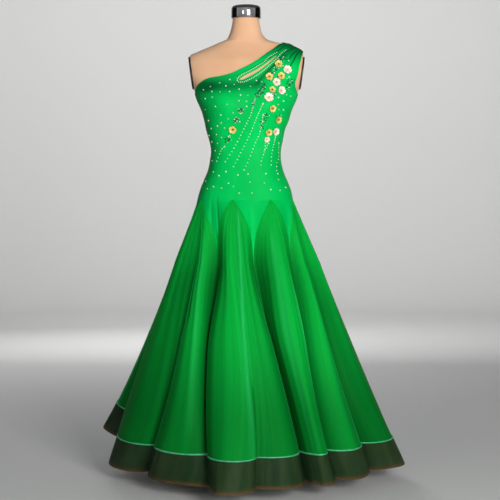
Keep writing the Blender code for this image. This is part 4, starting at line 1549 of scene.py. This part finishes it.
# Rows of crystals, as places in the picture
EDGE_ROWS = (
    (
        (237.4, 78.8), (239.5, 76.2), (242.2, 74.5), (251.7, 69.7), (263.2, 62.5), (269, 56.8),
        (276.6, 52.5),
    ),
    (
        (237.3, 80.4), (238.4, 81.9), (241.5, 82.2), (245, 81.5), (252.7, 77.8), (259.4, 73.5),
        (266.1, 68.3), (275.7, 59.7), (281.4, 53), (285.7, 50.1),
    ),
)
SPRAY_ROWS = (
    ((224.8, 146.5), (221.6, 149.1), (216.8, 161.1)),
    (
        (255.6, 97), (253.2, 106.5), (250.8, 115.1), (247, 122.8), (242.2, 132.4), (237.4, 141.9),
        (233.1, 149.6), (228.3, 157.7), (225.4, 161.8),
    ),
    (
        (263.2, 103.2), (256.5, 118), (252.2, 129.5), (250.3, 133.8), (247, 140.7), (243.1, 148.3),
        (238.5, 157), (236.4, 161.5), (233.6, 166.6),
    ),
    (
        (263.2, 114.2), (259.9, 133.3), (254.6, 144.8), (250.8, 155.1), (248.9, 159.3), (247.3, 163.9),
        (244.1, 169.9),
    ),
    ((265.1, 148.6), (262.8, 157.2), (261.3, 161.1), (261, 165.1)),
    ((275.4, 137.1), (273.3, 145.8), (271.8, 152.5), (271.4, 156.8), (271.2, 164.9)),
    ((278.7, 142.4), (278.5, 152), (278.8, 158.2), (276.4, 163.5), (276.4, 170.6)),
)
SINGLES = (
    (229.8, 79.5), (219.7, 82.9), (225.9, 85.9), (234.1, 84.4), (239.1, 89.1), (250.4, 86.2),
    (256.5, 80.5), (261.7, 81.7), (212, 91.5), (220, 91.8), (229.6, 91.5), (210.4, 86.6),
    (203.4, 89.7), (212.3, 97.1), (205.4, 98.7), (205.4, 109.4), (215.5, 106.5), (227, 104.3),
    (238.9, 100.7), (246.5, 101.3), (240.7, 95.1), (247.9, 95.4), (246.8, 106.3), (233.1, 112.7),
    (220.9, 115), (228.2, 118.8), (208.6, 120.5), (221.3, 122.8), (217.5, 125.9), (224.6, 127.9),
    (211.3, 128.6), (216.4, 134.6), (209.3, 135.3), (221.5, 137.3), (228.2, 136.6), (278.2, 104.3),
    (283.4, 109.8), (278.7, 109.4), (277.6, 173.7), (278.4, 179.5), (265.9, 173.7), (264.4, 183),
    (270.9, 189.6), (280, 190.4), (285.6, 187.5), (250.1, 182), (248, 173.9), (251.9, 193.1),
    (239.1, 193.1), (233.4, 186.4), (228.5, 183.2), (221.5, 187.9), (238, 175), (233.6, 166.5),
    (226, 171.7), (213.5, 171.9), (219.1, 175.7), (205.9, 181.1), (213.5, 186.6), (207.5, 188.8),
    (215.3, 150.7), (212.3, 160.7), (212, 141.8), (217.5, 143.3), (278.5, 97.5), (286.5, 94.5),
    (283.5, 101), (290.5, 96.2), (288.5, 60.5), (291, 71), (289, 77), (274, 70), (283, 66),
    (240.7, 110.8), (238.9, 109.2), (242.3, 112.3), (240.9, 113.4), (236.4, 117.2), (234.6, 119.4),
    (238.8, 118.9), (236.9, 121.0), (235.2, 122.8), (239.6, 121.6), (265.4, 143.0), (268.6, 143.4),
    (267.4, 145.2), (265.2, 145.8), (266.4, 147.8),
)

# Sprays of dark sequin leaves: place in the picture, number of leaves, and reach in picture dots
LEAF_SPRAYS = (
    (284.8, 57.6, 7, 3.4), (280.0, 60.5, 5, 3.0), (289.1, 82.1, 8, 4.2), (288.2, 88.5, 5, 3.0),
    (260.8, 91.2, 8, 4.2), (258.0, 95.5, 5, 3.0), (266.1, 116.1, 6, 3.4), (263.2, 120.9, 6, 3.0),
    (261.5, 126.5, 5, 2.8), (240.5, 110.6, 8, 3.3), (236.7, 120.6, 8, 3.3), (227.5, 139.0, 8, 4.0),
    (269.6, 77.0, 6, 4.0), (281.0, 75.9, 6, 4.0), (278.7, 118.0, 6, 4.2), (271.5, 72.5, 5, 3.2),
    (276.5, 69.0, 4, 2.6), (253.5, 104.0, 4, 2.2), (264.0, 86.5, 5, 2.6), (274.5, 94.0, 4, 2.6),
)


# A stone's rings from foot to table: reach and height, as shares of its radius and of its tallness
STONE_RINGS = ((1.0, -0.15), (1.0, 0.12), (0.62, 1.0))

# Crystals of each tint: kind of place, the first one taken, the step to the next, and radius
CRYSTALS = {
    "clear": (
        ("edge", 0, 1, 0.0017), ("spray", 0, 2, 0.0018), ("single", 0, 2, 0.0022), ("spark", 0, 2, 0.0017),
    ),
    "mint": (("spray", 1, 4, 0.0017), ("single", 1, 4, 0.0020), ("spark", 1, 4, 0.0016)),
    "blush": (("spray", 3, 4, 0.0016), ("single", 3, 4, 0.0020), ("spark", 3, 4, 0.0016)),
}


@dataclass
class Appliques:
    """Cloth flowers, sprays of sequin leaves and crystals on the bodice front."""

    surface: DressSurface
    wardrobe: Wardrobe
    picture: PictureFrame
    seed: int = 11
    petals: int = 5
    petal_steps: int = 7
    petal_thick: float = 0.0004
    cups: tuple[float, float] = (0.0034, 0.0046)
    inner_ring: float = 0.62
    inner_turn: float = 0.63
    beads: int = 7
    flower_lift: float = 0.0008
    heart_lift: float = 0.0045
    heart_reach: float = 0.17
    bead_radius: float = 0.12
    bead_tall: float = 0.9
    stone_sides: int = 8
    stone_lift: float = 0.0004
    stone_tall: float = 0.75
    sparks_each: int = 4
    leaf_steps: int = 6
    leaf_lift: float = 0.0011
    leaf_thick: float = 0.0004
    leaf_length: float = 0.0030
    leaf_longer: float = 0.0020
    leaf_width: float = 0.42
    leaf_fold: float = 0.18
    edge_gap: float = 1.9
    spray_gap: float = 2.8
    spray_growth: float = 1.45

    def __post_init__(self) -> None:
        """Starts the seeded random numbers."""
        self.random = np.random.default_rng(self.seed)

    def build(self) -> None:
        """Builds the flowers, leaves and crystals."""
        for node, x, z, radius in FLOWERS:
            self.build_flower(node, x, z, radius)
        self.build_leaves()
        self.build_crystals()

    def stand(self, angle: Array, z: Array, lift: float) -> tuple[Array, Array, Array, Array]:
        """Middle points on the bodice, with a normal and two directions along the cloth at each.

        Args:
            angle: angles of the middles.
            z: heights of the middles.
            lift: how far the middles stand off the cloth.

        Returns:
            Middles, normals, directions to +X, directions up.
        """
        normal = self.surface.outward(angle, z)
        middle = self.surface.at(angle, z) + normal * lift
        side = unit(np.cross(np.broadcast_to([0.0, 0.0, 1.0], normal.shape), normal))
        return middle, normal, side, np.cross(normal, side)

    def petal_grid(self) -> tuple[Array, Array]:
        """Shares of the way out along a petal, and places across it from -1 to 1."""
        out = np.linspace(0.10, 1, self.petal_steps)
        return out[:, None], np.linspace(-1, 1, self.petal_steps)[None, :]

    def petal_ring(self, radius: float, cup: float, turn: float) -> tuple[Array, list[Array]]:
        """A ring of petals: each is a grid whose half width swells as a sine and whose height cups up.

        Args:
            radius: reach of a petal.
            cup: how far a petal rises at its lip.
            turn: turn of the whole ring in radians.

        Returns:
            Points with the normal as their third number, and faces of both sides.
        """
        r, w = self.petal_grid()
        half = 0.50 * np.sin(math.pi * (0.08 + 0.60 * r**1.25)) * (1 - 0.45 * smoothstep(0.72, 1.0, r))
        notch = 1 - 0.10 * (1 - np.abs(w)) * smoothstep(0.7, 1.0, r)
        forward = r * notch * radius
        sideways = w * half * radius * 0.95
        rise = cup * (0.25 + r**1.5 + 0.45 * w**2 * r)
        sheets = []
        for k in range(self.petals):
            a = turn + 2 * math.pi * k / self.petals
            x = forward * math.cos(a) - sideways * math.sin(a)
            y = forward * math.sin(a) + sideways * math.cos(a)
            z = rise * (0.85 + 0.3 * self.random.random()) + 0.00012 * k
            sheets.append(np.stack([x, y, z], axis=-1).reshape(-1, 3))
        points = np.concatenate(sheets)
        count = len(points)
        one = grid_quads(self.petal_steps, self.petal_steps)
        quads = np.concatenate([one + r.size * w.size * k for k in range(self.petals)])
        points = np.concatenate([points, points - [0, 0, self.petal_thick]])
        return points, [quads[:, ::-1], quads + count]

    def build_flower(self, node: str, x: float, z: float, radius: float) -> None:
        """A flower of two rings of cupped petals with a beaded heart.

        Args:
            node: the solid that it stands for.
            x: X of its middle.
            z: Z of its middle.
            radius: its radius.
        """
        white = "white" in node
        angle = self.surface.angle_at(np.array([x]), np.array([z]))
        middle, normal, side, up = (v[0] for v in self.stand(angle, np.array([z]), self.flower_lift))
        nearly_round = 6.28
        turn = float(self.random.random()) * nearly_round
        rings = [
            self.petal_ring(radius, self.cups[0], turn),
            self.petal_ring(radius * self.inner_ring, self.cups[1], turn + self.inner_turn),
        ]
        points, faces, start = [], [], 0
        for ring, quads in rings:
            points.append(ring)
            faces += [q + start for q in quads]
            start += len(ring)
        local = np.concatenate(points)
        world = middle + local[:, :1] * side + local[:, 1:2] * up + local[:, 2:] * normal
        r, w = self.petal_grid()
        # The base is a deep tint of the petal; the sides get painted shade where the petals part.
        deep = smoothstep(0.66, 0.16, r) + 0.45 * np.abs(w) ** 3
        maps = {"base": np.tile(np.clip(deep, 0, 1).ravel(), len(world) // deep.size)}
        piece = make_piece(f"{node}_petals", world, faces, maps)
        finish, slot = (self.wardrobe.white, Slot.WHITE) if white else (self.wardrobe.gold, Slot.GOLD)
        settle(piece, finish, slot, node)
        around = np.linspace(0, 2 * math.pi, self.beads - 1, endpoint=False)
        ring = np.stack([np.cos(around), np.sin(around)], axis=1) * radius * self.heart_reach
        spots = np.concatenate([ring, [[0, 0]]])
        place = middle + spots[:, :1] * side + spots[:, 1:] * up + normal * self.heart_lift
        frames = tuple(np.tile(v, (self.beads, 1)) for v in (normal, side, up))
        sizes = np.full(self.beads, radius * self.bead_radius)
        heart, bead_faces = self.stones(place, *frames, sizes, self.bead_tall)
        beaded = make_piece(f"{node}_heart", heart, bead_faces)
        settle(beaded, self.wardrobe.bead if white else self.wardrobe.ember, Slot.GOLD)

    def stones(
        self, middle: Array, normal: Array, side: Array, up: Array, radius: Array, tall: float
    ) -> tuple[Array, list[Array]]:
        """Faceted stones: two rings of a foot, and a smaller ring with a flat table on top.

        Args:
            middle: middle of each stone's foot.
            normal: normal at each stone.
            side: direction to +X at each stone.
            up: direction up at each stone.
            radius: radius of each stone.
            tall: height as a share of the radius.

        Returns:
            Points and faces of all the stones.
        """
        sides = self.stone_sides
        around = np.linspace(0, 2 * math.pi, sides, endpoint=False)
        rings = []
        for reach, height in STONE_RINGS:
            flat = side[:, None] * np.cos(around)[:, None] + up[:, None] * np.sin(around)[:, None]
            ring = middle[:, None] + flat * (reach * radius)[:, None, None]
            rings.append(ring + normal[:, None] * (height * tall * radius)[:, None, None])
        points = np.stack(rings, axis=1).reshape(-1, 3)
        first = len(rings) * sides * np.arange(len(middle))
        quads = (grid_quads(len(rings), sides, True)[None] + first[:, None, None]).reshape(-1, 4)
        foot = np.arange(sides)[None] + first[:, None]
        table = foot + (len(rings) - 1) * sides
        return points, [quads, table, foot[:, ::-1]]

    def build_leaves(self) -> None:
        """Pointed leaves round each spray's middle: each a small folded rhomb, dark and glossy."""
        places, ways, sizes = [], [], []
        for across, down, leaves, reach in LEAF_SPRAYS:
            turn = self.random.random(leaves) * 0.7 + np.arange(leaves) * 2 * math.pi / leaves
            far = reach * (0.35 + 0.5 * self.random.random(leaves))
            places.append(np.stack([across + far * np.cos(turn), down - far * np.sin(turn)], axis=1))
            ways.append(turn)
            sizes.append(self.leaf_length + self.leaf_longer * self.random.random(leaves))
        angle, z = self.picture.on_front(self.surface, np.concatenate(places))
        turn = np.concatenate(ways)[:, None]
        size = np.concatenate(sizes)[:, None, None]
        middle, normal, side, up = self.stand(angle, z, self.leaf_lift)
        way = side * np.cos(turn) + up * np.sin(turn)
        square = np.cross(normal, way)
        s = np.linspace(0, 1, self.leaf_steps)
        width = self.leaf_width * np.sin(math.pi * s) ** 0.8
        along = way[:, None] * ((s - 0.5) * 2)[:, None]
        half = square[:, None] * width[:, None]
        spine = along + normal[:, None] * (self.leaf_fold * np.sin(math.pi * s))[:, None]
        left, right = along + half, along - half
        leaf = middle[:, None, None] + np.stack([left, spine, right], axis=1) * size[..., None]
        lines = leaf.shape[1]
        first = lines * self.leaf_steps * np.arange(len(middle))
        quads = (grid_quads(lines, self.leaf_steps)[None] + first[:, None, None]).reshape(-1, 4)
        piece = make_piece("sequin_leaves", leaf.reshape(-1, 3), [quads])
        solid = piece.modifiers.new("leaf thickness", "SOLIDIFY")
        solid.thickness = self.leaf_thick
        settle(piece, self.wardrobe.leaf, Slot.BODICE)

    @staticmethod
    def along(row: Lines, gap: float, growth: float = 1.0) -> Array:
        """Places along a row of picture places, on average a gap apart.

        Args:
            row: the places that the row runs through.
            gap: the mean gap in picture dots.
            growth: power that the shares of the way are raised to, so that gaps grow down the row.

        Returns:
            Rows of across and down.
        """
        knots = np.array(row)
        run = run_along(knots)
        at = run[-1] * np.linspace(0, 1, max(int(run[-1] / gap) + 1, 2)) ** growth
        return np.stack([np.interp(at, run, knots[:, 0]), np.interp(at, run, knots[:, 1])], axis=1)

    def build_crystals(self) -> None:
        """Crystals in three tints: rows round the slit, rows down the front, and single stones."""
        rows = [self.along(row, self.spray_gap, self.spray_growth) for row in SPRAY_ROWS]
        sprays = np.repeat(np.array(LEAF_SPRAYS), self.sparks_each, axis=0)
        turn = self.random.random(len(sprays)) * 2 * math.pi
        far = sprays[:, 3] * (0.25 + 0.8 * self.random.random(len(sprays)))
        places = {
            "edge": np.concatenate([self.along(row, self.edge_gap) for row in EDGE_ROWS]),
            "spray": np.concatenate(rows),
            "single": np.array(SINGLES, float),
            "spark": sprays[:, :2] + np.stack([np.cos(turn), np.sin(turn)], axis=1) * far[:, None],
        }
        for title, lots in CRYSTALS.items():
            chosen = [places[kind][first::step] for kind, first, step, _ in lots]
            place = np.concatenate(chosen)
            radius = np.concatenate([np.full(len(lot), row[-1]) for lot, row in zip(chosen, lots)])
            angle, z = self.picture.on_front(self.surface, place)
            points, faces = self.stones(*self.stand(angle, z, self.stone_lift), radius, self.stone_tall)
            piece = make_piece(f"crystals_{title}", points, faces)
            piece.data.shade_flat()
            settle(piece, self.wardrobe.crystals[title], Slot.BODICE)


# Soft boxes in front and behind: name, place, aim, side, watts, and whether glossy surfaces mirror it
SOFT_BOXES = (
    ("key_light", (1.4, -3.9, 1.3), (0, 0, 0.85), 1.3, 134, True),
    ("fill_light", (-1.6, -3.8, 1.3), (0, 0, 0.8), 0.9, 8, True),
    ("back_light", (-0.9, 4.0, 2.2), (0, 0, 0.8), 1.5, 46, False),
)

# Lights for the wall all round, which stand outside the dark cards: name, and direction along X and Y
WALL_LIGHTS = (("back", 0, 1), ("front", 0, -1), ("left", -1, 0), ("right", 1, 0))


@dataclass
class Studio:
    """Pale sweep, soft lights and the camera at the picture's viewing angle."""

    picture: PictureFrame
    floor: Colour = (0.71, 0.71, 0.70)
    reach: float = 6.0
    corner: float = 1.2
    wall_top: float = 3.6
    steps: int = 96
    card_x: float = 2.3
    wall_light_near: tuple[float, float] = (2.8, 3.0)
    wall_light_far: tuple[float, float] = (7.2, 2.9)
    wall_light_side: float = 2.0
    wall_light_power: float = 118
    sky_strength: float = 0.14

    def build(self) -> None:
        """Builds the sweep, the lights and the camera."""
        self.build_sweep()
        for side in (-1, 1):
            self.build_flag(side)
        self.build_lights()
        self.build_camera()

    def build_sweep(self) -> None:
        """A round floor that bends up in a quarter circle into a low wall all round."""
        bend = np.linspace(0, math.pi / 2, 16)
        middle = 0.005
        corner = self.corner
        r = np.concatenate([[middle], self.reach + corner * np.sin(bend), [self.reach + corner]])
        z = np.concatenate([[0.0], corner - corner * np.cos(bend), [self.wall_top]])
        around = np.linspace(0, 2 * math.pi, self.steps, endpoint=False)
        ring = np.stack([np.sin(around), -np.cos(around)], axis=-1)
        heights = np.broadcast_to(z[:, None, None], (len(z), self.steps, 1))
        points = np.concatenate([ring[None] * r[:, None, None], heights], axis=-1)
        piece = make_piece("studio_sweep", points, [grid_quads(len(r), self.steps, True)[:, ::-1]])
        bench = NodeBench("pale paper")
        grain = bench.noise(bench.placed("Object", (1, 1, 1)), 40)
        paler = tuple(c * 1.02 for c in self.floor)
        bench.feed("Base Color", bench.blend(grain, self.floor, paler))
        bench.set(Roughness=0.9, Specular_IOR_Level=0.1)
        piece.data.materials.append(bench.material)

    def build_flag(self, side: int) -> None:
        """A dark upright card outside the view, which keeps light off one side of the dress.

        Args:
            side: -1 for -X, 1 for +X.
        """
        y = np.linspace(-0.6, 2.4, 3)
        z = np.linspace(0.02, 2.5, 3)
        points = np.stack([np.full(9, side * self.card_x), np.tile(y, 3), np.repeat(z, 3)], axis=-1)
        piece = make_piece(f"dark_card_{'left' if side < 0 else 'right'}", points, [grid_quads(3, 3)])
        bench = NodeBench("dark card")
        grain = bench.noise(bench.placed("Object", (1, 1, 1)), 30)
        bench.feed("Roughness", bench.spread(grain, 0, 1, 0.8, 1.0))
        bench.set(Base_Color=(0.015, 0.015, 0.018, 1), Specular_IOR_Level=0.1)
        piece.data.materials.append(bench.material)
        piece.visible_camera = False

    def soft_box(
        self,
        title: str,
        place: tuple[float, float, float],
        aim: tuple[float, float, float],
        size: float,
        power: float,
        mirrored: bool,
    ) -> None:
        """A square area light at a place, turned to its aim.

        Args:
            title: the light's name.
            place: where it stands.
            aim: the point that it faces.
            size: side of the square.
            power: strength in watts.
            mirrored: whether the light shows in glossy surfaces.
        """
        light = bpy.data.lights.new(title, "AREA")
        light.size = size
        light.energy = power
        lamp = bpy.data.objects.new(title, light)
        lamp.location = place
        way = np.array(aim) - np.array(place)
        flat = math.hypot(way[0], way[1])
        lamp.rotation_euler = (math.atan2(flat, -way[2]), 0, math.atan2(-way[0], way[1]))
        lamp.visible_camera = False
        lamp.visible_glossy = mirrored
        bpy.context.scene.collection.objects.link(lamp)

    def build_lights(self) -> None:
        """The soft boxes, the lights of the wall, and a dim even sky."""
        for box in SOFT_BOXES:
            self.soft_box(*box)
        near, near_z = self.wall_light_near
        far, far_z = self.wall_light_far
        for name, x, y in WALL_LIGHTS:
            place, aim = (x * near, y * near, near_z), (x * far, y * far, far_z)
            size, power = self.wall_light_side, self.wall_light_power
            self.soft_box(f"wall_light_{name}", place, aim, size, power, False)
        world = bpy.data.worlds.new("soft sky")
        world.use_nodes = True
        sky = world.node_tree.nodes["Background"]
        sky.inputs["Color"].default_value = (0.92, 0.95, 1.0, 1)
        sky.inputs["Strength"].default_value = self.sky_strength
        bpy.context.scene.world = world

    def build_camera(self) -> None:
        """A level camera whose shift puts the horizon and the axis where the picture has them."""
        p = self.picture
        lens = bpy.data.cameras.new("picture_camera")
        lens.sensor_width = p.sensor
        lens.lens = p.focal / p.size * p.sensor
        lens.shift_x = (p.size / 2 - p.axis_x) / p.size
        lens.shift_y = (p.horizon_y - p.size / 2) / p.size
        camera = bpy.data.objects.new("picture_camera", lens)
        camera.location = (0, -p.distance, p.eye_z)
        camera.rotation_euler = (math.pi / 2, 0, 0)
        bpy.context.scene.collection.objects.link(camera)
        bpy.context.scene.camera = camera
        bpy.context.scene.view_settings.view_transform = "Standard"


def main() -> None:
    """Builds the studio, the form and the dress."""
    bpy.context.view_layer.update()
    surface = DressSurface()
    wardrobe = Wardrobe()
    picture = PictureFrame()
    godets = Godets(surface)
    Studio(picture).build()
    DressForm(surface, wardrobe).build()
    Bodice(surface, godets, wardrobe).build()
    Skirt(surface, godets, wardrobe).build()
    Appliques(surface, wardrobe, picture).build()


if __name__ == "__main__":
    main()
